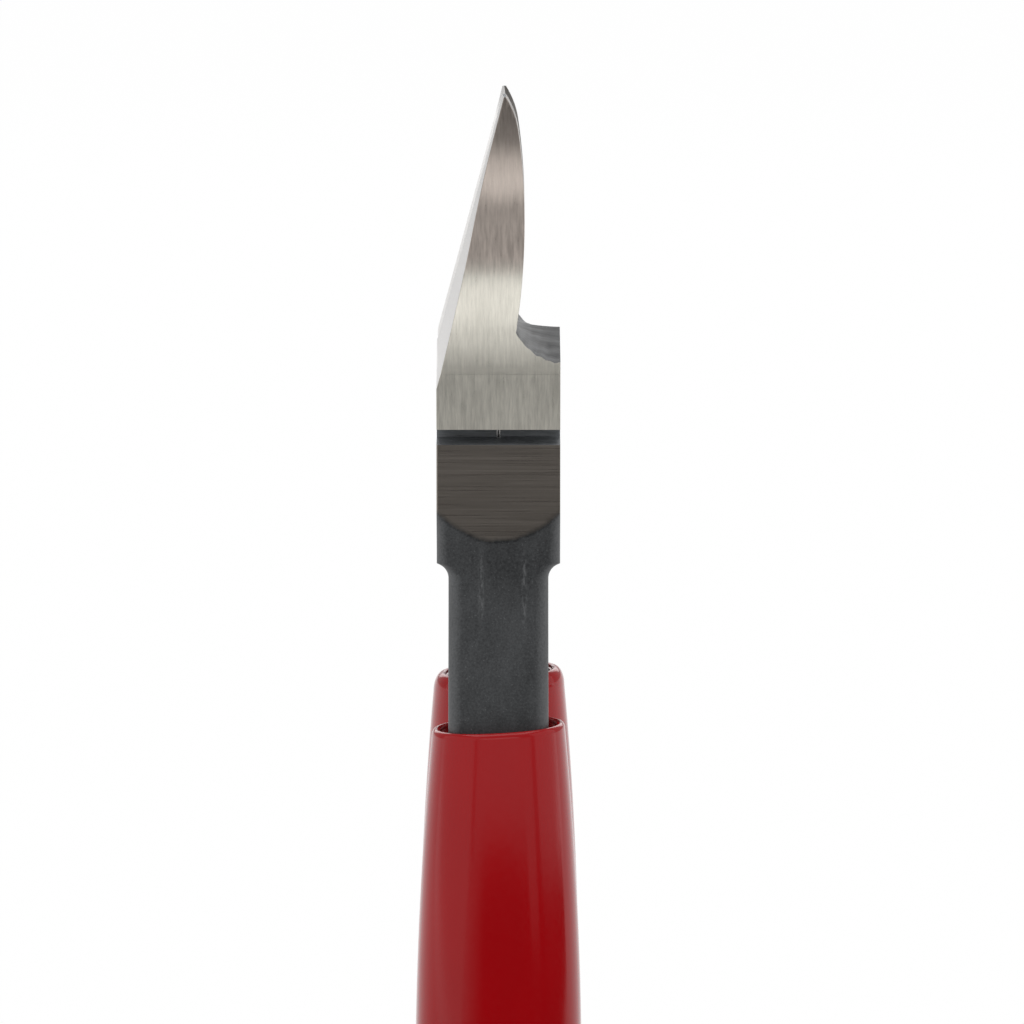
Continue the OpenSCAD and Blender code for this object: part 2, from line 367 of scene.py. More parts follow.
class Finish(ABC):
    """A finish that pieces are dressed with."""

    name: str

    def make(self, side: Side | None = None) -> bpy.types.Material:
        """Build the material.

        Args:
            side: Half whose closed frame the patterns follow, or None for the frame at rest.

        Returns:
            The material.
        """
        shader = Shader(self.name, side)
        self.paint(shader)
        return shader.material

    @abstractmethod
    def paint(self, shader: Shader) -> None:
        """Add this finish's nodes to a fresh shader."""


@dataclass(frozen=True)
class WorkedSteel(Finish):
    """Bright tool steel with the fine lines of its last grinding."""

    name: str
    lines_per_mm: Triple
    line_detail: Span = (4.0, 0.65)
    level: float = 0.62
    warm: float = 0.08
    contrast: float = 0.15
    clouds: Grain = Grain((0.35, 0.35, 0.2))
    lines_share: float = 0.75
    roughness: Span = (0.27, 0.36)
    line_depth: float = 0.001
    stretch: float = 0.8
    ripples: Grain = Grain((2.5, 0.4, 0.45), 2.0)
    ripple_depth: float = 0.0
    # Painted bands of light and shade by height, and how ragged their edges are.
    temper: tuple[Temper, ...] = ()
    temper_fray: float = 0.3

    def paint(self, shader: Shader) -> None:
        """Lay on the lines, and the painted bands of light and shade and the ripples where there are any.

        Args:
            shader: Shader being built.
        """
        lines = shader.noise(Grain(self.lines_per_mm, *self.line_detail))
        tone = shader.blend(lines, shader.noise(self.clouds), self.lines_share)
        changes = (-self.contrast, self.contrast)
        dark, light = (grey(self.level * (1 + change), self.warm) for change in changes)
        color = shader.shades(tone, (dark, light))
        # Painted light and shade: the bands by height multiply the steel's colour.
        if self.temper:
            height = shader.math("DIVIDE", shader.axes()[2], MM)
            ragged = shader.math("ADD", height, shader.spread(tone, (-self.temper_fray, self.temper_fray)))
            color = shader.mix(1.0, color, shader.ramp(ragged, self.temper), "MULTIPLY")
        normal = shader.bump(lines, self.line_depth)
        if self.ripple_depth:
            normal = shader.bump(shader.noise(self.ripples), self.ripple_depth, normal)
        shader.set(
            Base_Color=color,
            Metallic=1.0,
            Roughness=shader.spread(lines, self.roughness),
            Anisotropic=self.stretch,
            Tangent=shader.across(),
            Normal=normal,
        )


@dataclass(frozen=True)
class MilledShelf(Finish):
    """Dark milled steel with the even marks of the cutter across it."""

    name: str = "shelf_steel"
    colors: Shades = (grey(0.065, -0.02), grey(0.208, -0.02))
    metallic: float = 0.85
    roughness: Span = (0.42, 0.58)
    marks: Grain = Grain((0.3, 1.2, 0.6))
    marks_share: float = 0.7
    mark_depth: float = 0.03
    grit: Grain = Grain((7.0, 7.0, 7.0))
    grit_depth: float = 0.008

    def paint(self, shader: Shader) -> None:
        """Lay grit on the cutter's marks.

        Args:
            shader: Shader being built.
        """
        marks, grit = shader.noise(self.marks), shader.noise(self.grit)
        shader.set(
            Base_Color=shader.shades(shader.blend(marks, grit, self.marks_share), self.colors),
            Metallic=self.metallic,
            Roughness=shader.spread(grit, self.roughness),
            Normal=shader.bump(grit, self.grit_depth, shader.bump(marks, self.mark_depth)),
        )


@dataclass(frozen=True)
class ForgedShoulder(Finish):
    """Black forging skin, ground away to a bright flat on the outside of the shoulder, with painted
    highlights along its long edges and on two upright streaks.
    """

    name: str = "shoulder_steel"
    flat_drop: float = FLAT_DROP
    flat_bow_per_mm: float = 0.0916
    flat_fade: Span = (-0.3, 0.35)
    fray: Grain = Grain((0.6, 0.6, 0.6))
    fray_reach: float = 0.12
    bright: Shades = (grey(0.212, 0.22), grey(0.242, 0.2))
    bright_within: Span = (0.3, 1.0)
    bright_rough: Span = (0.26, 0.36)
    lines: Grain = Grain((0.1, 3.0, 11.0), 4.0, 0.6)
    line_relief: Span = (0.475, 0.525)
    black: Shades = (grey(0.022, -0.13), grey(0.07, -0.09))
    black_within: Span = (0.36, 0.66)
    black_rough: Span = (0.4, 0.6)
    metal: Span = (0.45, 1.0)
    metal_within: Span = (0.0, 0.5)
    speckle: Grain = Grain((5.5, 5.5, 5.5), 4.0, 0.7)
    speckle_share: float = 0.65
    patches: Grain = Grain((0.5, 0.5, 0.18))
    relief: float = 0.006
    # Colour of the stray specks and of the painted highlights on the edges and streaks.
    rubbed: Color = grey(0.24, -0.04)
    rubbed_grain: Span = (0.5, 1.0)
    step_heights: Span = (-12.2, -11.2)
    step_halves: Span = (3.87, HEAD_HALF_T)
    # Painted highlight along the long edges, where their roundings would catch the light.
    edge_painted_highlight: Span = (0.42, 0.0)
    edge_reach: Span = (0.05, 0.9)
    # Two upright painted highlight streaks on the shank's outer face.
    ridges_x: Span = (-1.4, 2.1)
    ridge_heights: Span = (-17.0, -9.5)
    ridge_painted_highlight: Span = (0.5, 0.0)
    ridge_reach: Span = (0.0, 0.3)
    ridge_fade: Span = (0.0, 0.3)
    breaks: Grain = Grain((4.0, 4.0, 1.5))
    breaks_within: Span = (0.42, 0.62)
    specks: Grain = Grain((7.0, 7.0, 7.0), 2.0)
    specks_within: Span = (0.64, 0.72)
    speck_wear: Span = (0.0, 0.3)

    def paint(self, shader: Shader) -> None:
        """Lay the ground flat on the black skin, with its bowed and ragged lower edge.

        Args:
            shader: Shader being built.
        """
        x, _, z = (shader.math("DIVIDE", axis, MM) for axis in shader.axes())
        bow = shader.math("MULTIPLY", shader.math("MULTIPLY", x, x), self.flat_bow_per_mm)
        above = shader.math("SUBTRACT", shader.math("ADD", z, self.flat_drop), bow)
        wander = shader.spread(shader.noise(self.fray), (-self.fray_reach, self.fray_reach))
        ground = shader.spread(shader.math("ADD", above, wander), within=self.flat_fade)
        lines, speckle = shader.noise(self.lines), shader.noise(self.speckle)
        bright = shader.shades(lines, self.bright)
        tone = shader.blend(speckle, shader.noise(self.patches), self.speckle_share)
        black = shader.shades(tone, self.black, self.black_within)
        # Painted highlights on the edges and streaks, with the stray specks, lighten the black skin.
        black = shader.mix(self.specks_and_painted_highlight(shader, x, z, speckle), black, self.rubbed)
        height = shader.between(ground, speckle, shader.spread(lines, self.line_relief))
        black_rough = shader.spread(speckle, self.black_rough)
        shader.set(
            Base_Color=shader.mix(shader.spread(ground, within=self.bright_within), black, bright),
            Metallic=shader.spread(ground, self.metal, self.metal_within),
            Roughness=shader.between(ground, black_rough, shader.spread(lines, self.bright_rough)),
            Normal=shader.bump(height, self.relief),
        )

    def specks_and_painted_highlight(self, shader: Shader, x: Socket, z: Socket, speckle: Socket) -> Socket:
        """Mark the painted highlights along the long edges and on two upright streaks, and the stray light
        specks of the skin.

        Args:
            shader: Shader being built.
            x: Socket of the place across, in millimetres.
            z: Socket of the height above the hinge, in millimetres.
            speckle: Socket of the fine grain.

        Returns:
            Socket of the share of painted highlight and specks.
        """
        half = shader.spread(z, self.step_halves, self.step_heights)
        from_edge = shader.math("SUBTRACT", half, shader.math("ABSOLUTE", x))
        edge = shader.spread(from_edge, self.edge_painted_highlight, self.edge_reach)
        # Painted highlight streaks, broken up and faded at their ends.
        left, right = (shader.math("ABSOLUTE", shader.math("SUBTRACT", x, at)) for at in self.ridges_x)
        ridge = shader.spread(shader.math("MINIMUM", left, right), self.ridge_painted_highlight, self.ridge_reach)
        broken = shader.spread(shader.noise(self.breaks), within=self.breaks_within)
        from_end = shader.math("PINGPONG", shader.spread(z, within=self.ridge_heights), 0.5)
        ends = shader.spread(from_end, within=self.ridge_fade)
        ridge = shader.math("MULTIPLY", shader.math("MULTIPLY", ridge, broken), ends)
        specks = shader.spread(shader.noise(self.specks), self.speck_wear, self.specks_within)
        specks_and_painted_highlight = shader.math("MAXIMUM", shader.math("MAXIMUM", edge, ridge), specks)
        return shader.math("MULTIPLY", specks_and_painted_highlight, shader.spread(speckle, self.rubbed_grain))


@dataclass(frozen=True)
class DarkLap(Finish):
    """Blackened mating faces around the hinge, with a trace of oil."""

    name: str = "lap_steel"
    colors: Shades = (grey(0.15, -0.1), grey(0.26, -0.1))
    metallic: float = 0.5
    roughness: Span = (0.38, 0.52)
    marks: Grain = Grain((0.5, 0.5, 4.0))
    mark_depth: float = 0.006

    def paint(self, shader: Shader) -> None:
        """Lay on the level marks.

        Args:
            shader: Shader being built.
        """
        marks = shader.noise(self.marks)
        shader.set(
            Base_Color=shader.shades(marks, self.colors),
            Metallic=self.metallic,
            Roughness=shader.spread(marks, self.roughness),
            Normal=shader.bump(marks, self.mark_depth),
        )


@dataclass(frozen=True)
class RedSleeve(Finish):
    """Glossy dipped vinyl with a faintly uneven skin."""

    name: str = "red_vinyl"
    colors: Shades = ((0.3, 0.0014, 0.0033, 1.0), (0.338, 0.002, 0.0042, 1.0))
    roughness: Span = (0.1, 0.15)
    ior: float = 1.37
    waves: Grain = Grain((0.12, 0.12, 0.05), 2.0)
    wave_depth: float = 0.05
    peel: Grain = Grain((1.4, 1.4, 0.9), 2.0)
    peel_depth: float = 0.0035
    dust: Grain = Grain((3.5, 3.5, 3.5), 3.0, 0.65)

    def paint(self, shader: Shader) -> None:
        """Lay a fine peel on the dip's long waves, with dull specks of dust.

        Args:
            shader: Shader being built.
        """
        waves, peel = shader.noise(self.waves), shader.noise(self.peel)
        shader.set(
            Base_Color=shader.shades(waves, self.colors),
            Roughness=shader.spread(shader.noise(self.dust), self.roughness),
            IOR=self.ior,
            Normal=shader.bump(peel, self.peel_depth, shader.bump(waves, self.wave_depth)),
        )


@dataclass(frozen=True)
class SpringWire(Finish):
    """Drawn spring wire with fine scratches and a brown tint from tempering."""

    name: str = "spring_wire"
    colors: Shades = (grey(0.34, 0.16), grey(0.55, 0.06))
    roughness: Span = (0.22, 0.36)
    tint: Grain = Grain((1.1, 1.1, 1.1))
    scratches: Grain = Grain((6.0, 1.5, 6.0))
    scratch_depth: float = 0.004

    def paint(self, shader: Shader) -> None:
        """Lay the scratches on the tint.

        Args:
            shader: Shader being built.
        """
        scratches = shader.noise(self.scratches)
        shader.set(
            Base_Color=shader.shades(shader.noise(self.tint), self.colors),
            Metallic=1.0,
            Roughness=shader.spread(scratches, self.roughness),
            Normal=shader.bump(scratches, self.scratch_depth),
        )


@dataclass(frozen=True)
class TurnedSteel(Finish):
    """Lathe-turned steel with rings about the hinge axis."""

    name: str = "turned_steel"
    colors: Shades = (grey(0.35, 0.06), grey(0.625, 0.06))
    roughness: Span = (0.24, 0.38)
    rings_per_mm: float = 7.0
    rings_share: float = 0.6
    ring_depth: float = 0.008
    stain: Grain = Grain((0.9, 0.9, 0.9))

    def paint(self, shader: Shader) -> None:
        """Lay on rings by the distance from the hinge axis, and faint stains.

        Args:
            shader: Shader being built.
        """
        _, y, z = shader.axes()
        flat = shader.node("ShaderNodeCombineXYZ", {1: y, 2: z}).outputs[0]
        radius = shader.node("ShaderNodeVectorMath", {0: flat}, operation="LENGTH").outputs["Value"]
        turns = shader.math("MULTIPLY", radius, self.rings_per_mm / MM)
        along = shader.node("ShaderNodeCombineXYZ", {0: turns}).outputs[0]
        rings = shader.node("ShaderNodeTexNoise", {"Vector": along, "Scale": 1.0, "Detail": 2.0}).outputs[0]
        tone = shader.blend(rings, shader.noise(self.stain), self.rings_share)
        shader.set(
            Base_Color=shader.shades(tone, self.colors),
            Metallic=1.0,
            Roughness=shader.spread(rings, self.roughness),
            Normal=shader.bump(rings, self.ring_depth),
        )


class Carve(Enum):
    """How a second solid changes a first one."""

    JOIN = "UNION"
    CUT = "DIFFERENCE"


def placed(name: str, data: bpy.types.ID) -> bpy.types.Object:
    """Put an object into the scene.

    Args:
        name: Name of the object.
        data: Its mesh, lamp or camera.

    Returns:
        The object.
    """
    made = bpy.data.objects.new(name, data)
    bpy.context.scene.collection.objects.link(made)
    return made


def skin(
    name: str, rings: np.ndarray, zones: np.ndarray | int = 0, caps: tuple[int, int] = (0, 0)
) -> bpy.types.Object:
    """Cover a row of closed rings with quads and close both ends.

    Args:
        name: Name of the object.
        rings: Array of ring, point and x, y, z in metres.
        zones: Material slot of every face, by ring and column, or one for all.
        caps: Material slots of the first and last end.

    Returns:
        The object, with its doubled points merged and its faces turned outwards.
    """
    rings = np.asarray(rings, float)
    count, sides = rings.shape[:2]
    here, after = np.arange(sides), np.roll(np.arange(sides), -1)
    faces: list[list[int]] = []
    for row in range(count - 1):
        low, high = row * sides, (row + 1) * sides
        faces += np.stack([low + here, low + after, high + after, high + here], 1).tolist()
    faces += [list(range(sides))[::-1], list(range((count - 1) * sides, count * sides))]
    slots = np.append(np.broadcast_to(zones, (count - 1, sides)).ravel(), caps)
    mesh = bpy.data.meshes.new(name)
    mesh.from_pydata(rings.reshape(-1, 3).tolist(), [], faces)
    mesh.polygons.foreach_set("material_index", slots.astype(np.int32))
    work = bmesh.new()
    work.from_mesh(mesh)
    bmesh.ops.remove_doubles(work, verts=work.verts, dist=WELD_M)
    bmesh.ops.dissolve_degenerate(work, edges=work.edges, dist=SLIVER_M)
    bmesh.ops.recalc_face_normals(work, faces=work.faces)
    work.to_mesh(mesh)
    work.free()
    return placed(name, mesh)


def around(sides: int) -> np.ndarray:
    """Give evenly spaced angles of a full turn."""
    return np.linspace(0, math.tau, sides, endpoint=False)


def turned(
    name: str, profile: list[Span], zone: int = 0, sides: int = 96, first_zone: int | None = None
) -> bpy.types.Object:
    """Turn a profile about the closed hinge axis.

    Args:
        name: Name of the object.
        profile: Places along x and radii, in millimetres.
        zone: Material slot of its faces.
        sides: Points in a ring.
        first_zone: Material slot of its first step, where that differs.

    Returns:
        The closed solid, in the closed frame, in metres.
    """
    turn = around(sides)
    rings = [np.stack([np.full(sides, x), r * np.cos(turn), r * np.sin(turn)], -1) for x, r in profile]
    zones = np.full((len(profile) - 1, sides), zone)
    zones[0] = zone if first_zone is None else first_zone
    return skin(name, np.array(rings) * MM, zones, (zone, zone))


def rod(
    name: str, start: float, end: float, radius: float, zone: int = 0, sides: int = 96
) -> bpy.types.Object:
    """Build a plain round solid on the closed hinge axis.

    Args:
        name: Name of the object.
        start: Its first end in x, in millimetres.
        end: Its other end.
        radius: Its radius.
        zone: Material slot of its faces.
        sides: Points in a ring.

    Returns:
        The closed solid, in the closed frame, in metres.
    """
    return turned(name, [(start, radius), (end, radius)], zone, sides)


def settle(piece: bpy.types.Object) -> None:
    """Turn a piece's modifiers into its plain mesh.

    Args:
        piece: The piece, left without modifiers.
    """
    graph = bpy.context.evaluated_depsgraph_get()
    mesh = bpy.data.meshes.new_from_object(piece.evaluated_get(graph))
    piece.modifiers.clear()
    piece.data = mesh


def carve(body: bpy.types.Object, tool: bpy.types.Object, how: Carve) -> None:
    """Join a second solid to a first one or cut it away, and drop the second.

    Args:
        body: The solid that stays.
        tool: The solid that is used up.
        how: Whether it is joined or cut.
    """
    for material in body.data.materials:
        tool.data.materials.append(material)
    modifier = body.modifiers.new("carve", "BOOLEAN")
    modifier.operation = how.value
    modifier.object = tool
    modifier.solver = "EXACT"
    modifier.material_mode = "INDEX"
    settle(body)
    bpy.data.objects.remove(tool)


def smooth(piece: bpy.types.Object, crease: float = 28.0) -> None:
    """Shade a piece smoothly with crisp creases.

    Args:
        piece: The piece.
        crease: Angle in degrees between faces above which an edge stays sharp.
    """
    piece.data.shade_smooth()
    piece.data.set_sharp_from_angle(angle=math.radians(crease))
    weighted = piece.modifiers.new("weighted", "WEIGHTED_NORMAL")
    weighted.keep_sharp = True
    # The modifier tells no areas apart at millimetre size, so the mesh is enlarged for it.
    piece.data.transform(Matrix.Scale(1 / MM, 4))
    settle(piece)
    piece.data.transform(Matrix.Scale(MM, 4))


def ease(t: np.ndarray | float) -> np.ndarray:
    """Rise smoothly from 0 to 1 as t does."""
    u = np.clip(t, 0.0, 1.0)
    return u * u * (3 - 2 * u)


def mixed(a: Number, b: Number, t: Number) -> Number:
    """Give the value a share t of the way from a to b."""
    return a + (b - a) * t


def stations(stops: tuple[float, ...], steps: tuple[int, ...]) -> np.ndarray:
    """Give values through a row of stops.

    Args:
        stops: The stops.
        steps: Number of even steps from each stop to the next.

    Returns:
        The values, with all the stops.
    """
    rows = [np.linspace(a, b, count + 1)[1:] for a, b, count in zip(stops, stops[1:], steps)]
    return np.concatenate([stops[:1], *rows])


def line(a: np.ndarray, b: np.ndarray, steps: int) -> np.ndarray:
    """Give steps points from a towards b, with a and without b."""
    return mixed(np.asarray(a, float), np.asarray(b, float), np.arange(steps)[:, None] / steps)


def quarter(x: float, y: float, radius: float, start: float, steps: int = 8) -> np.ndarray:
    """Give the points of a quarter round.

    Args:
        x: Middle of the round in x.
        y: Middle of the round in y.
        radius: Its radius.
        start: Angle in degrees from which it runs clockwise.
        steps: Number of points.

    Returns:
        The points.
    """
    turn = np.radians(np.linspace(start, start - 90, steps))
    return np.stack([x + radius * np.cos(turn), y + radius * np.sin(turn)], -1)


def rounded(
    before: np.ndarray,
    corner: np.ndarray,
    after: np.ndarray,
    radius: float,
    most: float = 0.3,
    steps: int = 4,
) -> np.ndarray:
    """Round a corner of an outline.

    Args:
        before: Point before the corner.
        corner: The corner.
        after: Point after the corner.
        radius: Length taken off each side.
        most: Largest share of a side that is taken off.
        steps: Points on the round.

    Returns:
        Points of the round.
    """
    ends = []
    for side in (before - corner, after - corner):
        length = np.linalg.norm(side)
        ends.append(corner + side / max(length, TINY) * min(radius, most * length))
    t = np.linspace(0, 1, steps)[:, None]
    return (1 - t) ** 2 * ends[0] + 2 * t * (1 - t) * corner + t**2 * ends[1]


@dataclass(frozen=True)
class Outline:
    """A closed section: its points, and the zone of the stretch that starts at each."""

    points: np.ndarray
    zones: np.ndarray

    @classmethod
    def of(cls, *stretches: tuple[np.ndarray, Zone]) -> "Outline":
        """Join stretches of points.

        Args:
            stretches: Points of x and y, and the zone of each stretch.

        Returns:
            The outline.
        """
        points, zones = zip(*stretches)
        return cls(np.concatenate(points), np.repeat(zones, [len(part) for part in points]))


@dataclass
class Tang:
    """Middle line and half sizes of a shank and its tang, by drop s below the hinge."""

    neck_drop: float = 12.0
    neck_y: float = 5.3
    neck_half_d: float = 3.1
    shank_drop: float = 25.0
    shank_y: float = 7.9
    shank_half_d: float = 3.6
    shank_half_t: float = 4.05
    end_half_d: float = 2.7
    end_half_t: float = 3.3
    end_lift: float = 6.0
    lean: float = 2.0

    @property
    def end_drop(self) -> float:
        """Drop of the tang's end."""
        return PIVOT_Z - self.end_lift

    def shank_share(self, s: float) -> float:
        """Share of the way from neck to shank."""
        return float(ease((s - self.neck_drop) / (self.shank_drop - self.neck_drop)))

    def tang_share(self, s: float) -> float:
        """Share of the way from shank to tang end."""
        return max(0.0, s - self.shank_drop) / (self.end_drop - self.shank_drop)

    def mid_y(self, s: float) -> float:
        """Middle of the section in y."""
        out = max(0.0, s - self.shank_drop) * math.tan(math.radians(self.lean))
        return mixed(self.neck_y, self.shank_y, self.shank_share(s)) + out

    def half_d(self, s: float) -> float:
        """Half the section's size in y.

        Args:
            s: Drop below the hinge.

        Returns:
            The half size.
        """
        if s < self.shank_drop:
            return mixed(self.neck_half_d, self.shank_half_d, self.shank_share(s))
        return mixed(self.shank_half_d, self.end_half_d, self.tang_share(s))

    def half_x(self, s: float) -> float:
        """Half the section's size in x."""
        return mixed(self.shank_half_t, self.end_half_t, self.tang_share(s))


@dataclass(frozen=True)
class Hollow:
    """Section of the milled shelf: level, then a hollow rise towards the jaw."""

    low: float
    start: float
    radius: float

    def level(self, x: float) -> float:
        """Height of the section at one place in x."""
        across = max(0.0, self.start - x)
        return self.low + self.radius - math.sqrt(max(0.0, self.radius**2 - across**2))


@dataclass(frozen=True)
class Ripple:
    """One wave of the milling cutter's chatter, by place x and share of the shelf's depth."""

    size: float
    turn_per_mm: float
    slant: float

    def height(self, x: float, share: float) -> float:
        """Height of the wave, which grows towards the back."""
        return self.size * max(0.0, share) * math.sin(self.turn_per_mm * x + self.slant * share)


@dataclass(frozen=True)
class Bore:
    """Hole of a lever for the hinge screw, with the sink for its head or its nut."""

    radius: float
    sink_r: float
    sink_h: float
    sides: int = 48
    sink_sides: int = 72


@dataclass
class Lever:
    """A forged lever: jaw, hinge disc, shoulder, shank, and the tang inside its sleeve."""

    side: Side
    bore: Bore
    tang: Tang = field(default_factory=Tang)
    half_t: float = HEAD_HALF_T
    head_half_w: float = 8.8
    disc_r: float = 6.0
    disc_bevel: float = 0.12
    recess_r: float = 6.3
    lap_gap: float = 0.06
    notch_angle: float = 9.2
    sweep_start: float = 2.0
    crotch_gap: float = 0.6
    head_drop: float = 11.2
    step_fillet: float = 1.2
    forge_slope: float = 20.0
    forge_blend: float = 0.35
    flat_drop: float = FLAT_DROP
    round_drops: Span = (6.5, 11.0)
    outer_round: Span = (0.12, 1.15)
    inner_round: Span = (0.2, 0.9)
    crown_r: Span = (15.0, 17.0)
    shank_steps: tuple[int, ...] = (35, 9, 27, 19)
    jaw_len: float = 27.2
    jaw_steps: tuple[int, ...] = (10, 1, 23, 1, 63)
    jaw_foot_lift: float = 0.05
    # Heights of the jaw's back, and its lean there in degrees.
    back: tuple[Span, ...] = (
        (6.0, 0.0), (6.01, 11.5), (8.2, 16.5), (9.3, 17.0), (10.8, 19.0),
        (12.4, 20.5), (13.5, 22.8), (14.8, 26.5), (16.4, 32.0), (17.6, 29.0),
        (18.7, 24.5), (20.5, 20.0), (22.1, 15.8), (23.7, 11.5), (27.2, 9.0),
    )
    crest_x: float = 2.12
    crest_z: float = 17.5
    bow_r: float = 48.0
    nose_start: float = 24.6
    nose_r: float = 6.4
    shelf_inside: Hollow = Hollow(low=7.76, start=5.4, radius=18.7)
    shelf_back: Hollow = Hollow(low=6.87, start=5.4, radius=4.4)
    shelf_top: float = 9.7
    shelf_over: float = 0.8
    shelf_reach: Span = (-0.05, 1.15)
    shelf_steps: tuple[int, int, int] = (24, 28, 11)
    chatter: tuple[Ripple, ...] = (Ripple(0.05, 8.0, 6.0), Ripple(0.03, 4.96, -4.0))
    skim: float = 0.002
    grind_slope: float = 15.4
    grind_tilt: float = 5.9
    grind_tip_x: float = 0.3
    wedge_angle: float = 70.0
    throat_z: float = 6.5
    edge_gap: float = 0.06
    edge_round: float = 0.05
    edge_bevel: float = 0.7
    seat_r: float = 2.5
    seat_y: float = 6.8
    seat_drop: float = SPRING_DROP
    seat_sides: int = 40
    past: float = 1.0

    def flush_x(self, z: float) -> float:
        """Flush side of the jaw, bowed, with a rounded nose."""
        nose = max(0.0, z - self.nose_start) ** 2 / (2 * self.nose_r)
        return self.crest_x - (z - self.crest_z) ** 2 / (2 * self.bow_r) - nose

    def back_depth(self, z: float, samples: int = 120) -> float:
        """Depth of the jaw's back from the middle plane.

        Args:
            z: Height above the hinge.
            samples: Number of heights at which the lean of the back is added up.

        Returns:
            The head's half width, drawn in by the lean up to z.
        """
        heights, leans = zip(*self.back)
        levels = np.linspace(heights[0], max(z, heights[0]), samples)
        slopes = np.tan(np.radians(np.interp(levels, heights, leans)))
        return self.head_half_w - float(np.sum((slopes[1:] + slopes[:-1]) / 2 * np.diff(levels)))

    def shelf_level(self, x: float, share: float) -> float:
        """Height of the milled shelf.

        Args:
            x: Place across the jaw.
            share: Share of the way from the inside to the back.

        Returns:
            The height, with the cutter's chatter.
        """
        height = mixed(self.shelf_inside.level(x), self.shelf_back.level(x), share)
        return height + sum(wave.height(x, share) for wave in self.chatter)

    def shelf_foot(self, share: float, rounds: int = 12) -> float:
        """Find where the shelf meets the flush side.

        Args:
            share: Share of the way from the inside to the back.
            rounds: Steps from one to the other, by which the place settles.

        Returns:
            The place in x, just clear of the flush side.
        """
        foot = self.crest_x
        for _ in range(rounds):
            foot = self.flush_x(self.shelf_level(foot, share)) + self.skim
        return foot

    def shelf(self) -> bpy.types.Object:
        """Build the tool that mills the shelf beside the foot of the jaw.

        Returns:
            The closed solid, in the closed frame, in metres.
        """
        roof, past = self.shelf_top + self.shelf_over, self.half_t + self.past
        deep, wide, tall = self.shelf_steps
        rings = []
        for share in np.linspace(*self.shelf_reach, deep + 1):
            foot = self.shelf_foot(share)
            ring = [(x, self.shelf_level(x, share)) for x in np.linspace(past, foot, wide + 1)]
            up = np.linspace(self.shelf_level(foot, share), roof, tall + 1)[1:]
            ring += [(self.flush_x(z) + self.skim, z) for z in up] + [(past, roof)]
            rings.append([(x, -share * self.head_half_w, z) for x, z in ring])
        zones = [Zone.SHELF] * wide + [Zone.CHEEK] * tall + [Zone.LAP] * 2
        return skin("shelf", np.array(rings) * MM, np.array(zones), (Zone.LAP, Zone.LAP))

    def jaw_outline(self, z: float) -> Outline:
        """Outline of the jaw at one height.

        Args:
            z: Height above the hinge.

        Returns:
            The outline, from the inner corner of the flush side round by the back. Up to the
            shelf it has the head's full width, and above the throat its inside is ground back
            from the cutting edge.
        """
        head, bevelled = z <= self.shelf_top, z > self.throat_z
        inner, back = self.edge_gap / 2, self.back_depth(z)
        slope, tilt, wedge = (
            math.tan(math.radians(a)) for a in (self.grind_slope, self.grind_tilt, self.wedge_angle)
        )
        start = self.grind_tip_x - (self.jaw_len - z) * slope / math.cos(math.radians(self.grind_tilt))
        right = self.half_t if head else self.flush_x(z)
        edge = min(right, self.flush_x(z))
        inside = inner
        if bevelled:
            inside = (edge - start + inner * wedge) / (tilt + wedge)
            if start + inside * tilt < -self.half_t:
                inside = inner + (edge + self.half_t) / wedge
            inside = min(inside, back)
        ridge = min(max((-self.half_t - start) / tilt, inside), back)
        left = [(max(-self.half_t, start + depth * tilt), depth) for depth in (back, ridge, inside)]
        corners = np.array([(right, inner), (right, back), *left, (edge, inner)]) * (1, -1)
        bevel = corners[5] - corners[4]
        # The fine bevel of the edge takes at most half of the ground inside.
        lip = corners[5] - bevel * min(0.5, self.edge_bevel / max(np.linalg.norm(bevel), self.edge_bevel))
        back_right = rounded(*corners[:3], self.edge_round)
        flat = ridge > back - self.edge_round
        back_left = rounded(corners[1], corners[2], corners[4 if flat else 3], self.edge_round)
        knee = back_left[-1] if flat else corners[3]
        return Outline.of(
            (line(corners[0], back_right[0], 6), Zone.CHEEK),
            (back_right[:-1], Zone.BACK),
            (line(back_right[-1], back_left[0], 10), Zone.BACK),
            (back_left[:-1], Zone.BACK),
            (line(back_left[-1], knee, 4), Zone.GROUND),
            (line(knee, corners[4], 4), Zone.CHEEK),
            (line(corners[4], lip, 4), Zone.GROUND if bevelled else Zone.CHEEK),
            (line(lip, corners[5], 2), Zone.EDGE if bevelled else Zone.CHEEK),
            (line(corners[5], corners[0], 2), Zone.CHEEK if head else Zone.EDGE),
        )

    def sweep(
        self, name: str, foot: Outline, rows: list[tuple[float, Outline]], end: Zone
    ) -> bpy.types.Object:
        """Skin a row of level outlines that starts on the slanted face of the notch.

        Args:
            name: Name of the object.
            foot: Outline that is laid on the notch's face.
            rows: Heights and outlines, away from the hinge.
            end: Zone of the far end.

        Returns:
            The closed solid, in the closed frame, in metres.
        """
        slant = math.tan(math.radians(self.notch_angle))
        rings = [np.column_stack([foot.points, -slant * foot.points[:, 1]])]
        rings += [np.column_stack([row.points, np.full(len(row.points), z)]) for z, row in rows]
        return skin(name, np.array(rings) * MM, np.array([row.zones for _, row in rows]), (Zone.LAP, end))

    def jaw(self) -> bpy.types.Object:
        """Build the jaw with its ground side and bevelled inside, up from the notch.

        Returns:
            The closed solid, in the closed frame, in metres.
        """
        (crease, _), (lean_start, _) = self.back[:2]
        foot = self.shelf_top + self.jaw_foot_lift
        stops = (self.sweep_start, crease, lean_start, self.shelf_top, foot, self.jaw_len)
        rows = [(z, self.jaw_outline(z)) for z in stations(stops, self.jaw_steps)]
        return self.sweep("jaw", self.jaw_outline(0.0), rows, Zone.LAP)

